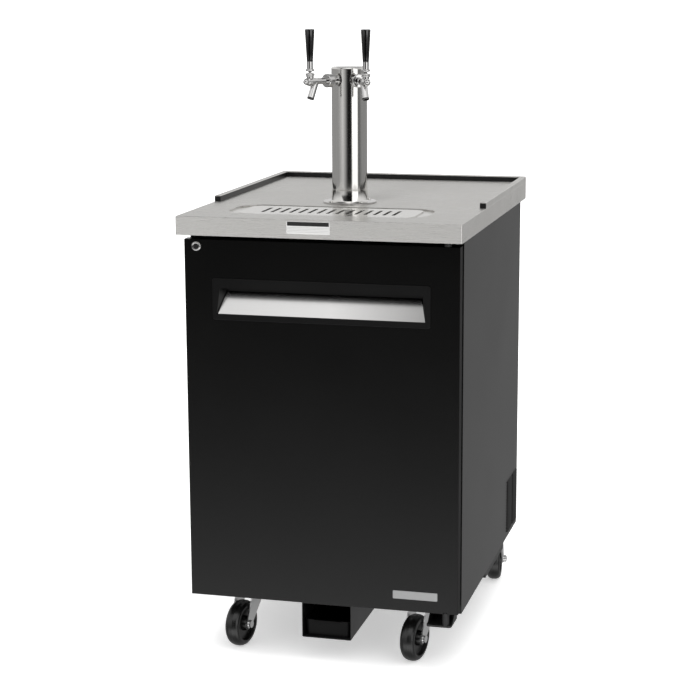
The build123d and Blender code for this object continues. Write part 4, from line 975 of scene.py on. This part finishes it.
direction = sky.nodes.new("ShaderNodeTexCoord")
heading = sky.nodes.new("ShaderNodeSeparateXYZ")
sky.links.new(direction.outputs["Generated"], heading.inputs["Vector"])
forward = sky_math("MULTIPLY", heading.outputs["Y"], -1.0)
azimuth = sky_math("ARCTAN2", heading.outputs["X"], forward)
elevation = sky_math("ARCSINE", heading.outputs["Z"])
frontness = sky_math("COSINE", sky_math("SUBTRACT", azimuth, math.radians(camera_azimuth)))
turn_share = sky_math("DIVIDE", sky_math("ADD", azimuth, math.pi), 2 * math.pi)
belt = sky.nodes.new("ShaderNodeValToRGB")
stops = belt.color_ramp.elements
while len(stops) < len(room_belt):
    stops.new(0.5)
for stop, (degrees, brightness) in zip(stops, room_belt):
    stop.position = (degrees + 180) / 360
    stop.color = (*[brightness / belt_scale] * 3, 1.0)
sky.links.new(turn_share, belt.inputs["Fac"])

# From the left wall to the tall softbox the belt ends above eye height, and in front it ends
# over the floor.
left_side = sky_turn(azimuth, 26, 32, 1.0, 0.0)
past_left_wall = sky_turn(azimuth, -75, -50, 0.0, 1.0)
upper_edge = sky_turn(elevation, 1, 5, 1.0, 0.10)
band = sky_mix(sky_math("MULTIPLY", left_side, past_left_wall), 1.0, upper_edge)
lower_edge = sky_turn(elevation, -8, -6.8, 0.06, 1.0)
in_front = sky_range(frontness, 0.0, 0.4, 0.0, 1.0)
dimmed = sky_math("MULTIPLY", band, sky_mix(in_front, 1.0, lower_edge))
walls = sky_math("MULTIPLY", sky_math("MULTIPLY", belt.outputs["Color"], dimmed), belt_scale)

# The ceiling starts higher in front than behind, and is darker overhead away from the front.
ceiling_edge = sky_range(frontness, 0.5, 0.95, math.radians(2), math.radians(26))
above = sky_range(sky_math("SUBTRACT", elevation, ceiling_edge), -0.10, 0.10, 0.0, 1.0)
back_ceiling = sky_turn(elevation, 34, 52, 0.95, 0.22)
ceiling = sky_mix(sky_range(frontness, 0.4, 0.9, 0.0, 1.0), back_ceiling, 1.5)

# The floor is bright in front and darker underfoot.
below = sky_turn(elevation, -23, -12, 1.0, 0.0)
front_floor = sky_turn(elevation, -60, -36, 0.35, 1.9)
ground = sky_mix(sky_range(frontness, 0.2, 0.7, 0.0, 1.0), 0.36, front_floor)
room = sky_mix(below, sky_mix(above, walls, ceiling), ground)
seen = sky.nodes.new("ShaderNodeLightPath")
sky.links.new(sky_mix(seen.outputs["Is Camera Ray"], room, 1.0), backdrop.inputs["Color"])
bpy.context.scene.view_settings.view_transform = "Standard"

overhead = bpy.data.lights.new("overhead", "SUN")
overhead.energy = 1.6
overhead.angle = math.radians(60)
overhead_lamp = bpy.data.objects.new("overhead", overhead)
overhead_lamp.rotation_euler = (math.radians(-12), 0, 0)
overhead_lamp.visible_glossy = False
bpy.context.scene.collection.objects.link(overhead_lamp)

# The camera stands where the photo's perspective puts it, with no lens shift.
camera_data = bpy.data.cameras.new("camera")
camera = bpy.data.objects.new("camera", camera_data)
bpy.context.scene.collection.objects.link(camera)
bpy.context.scene.camera = camera
camera_data.sensor_width = 36.0
camera_data.lens = 95.47
camera_data.clip_start = 0.05
camera_data.clip_end = 900.0
camera.location = (0.9986, -3.9638, 1.4380)
yaw, pitch, roll = math.radians(camera_azimuth), math.radians(-11.50), math.radians(-0.25)
turn = (
    Matrix.Rotation(yaw, 4, "Z")
    @ Matrix.Rotation(math.pi / 2 + pitch, 4, "X")
    @ Matrix.Rotation(roll, 4, "Z")
)
camera.rotation_euler = turn.to_euler()
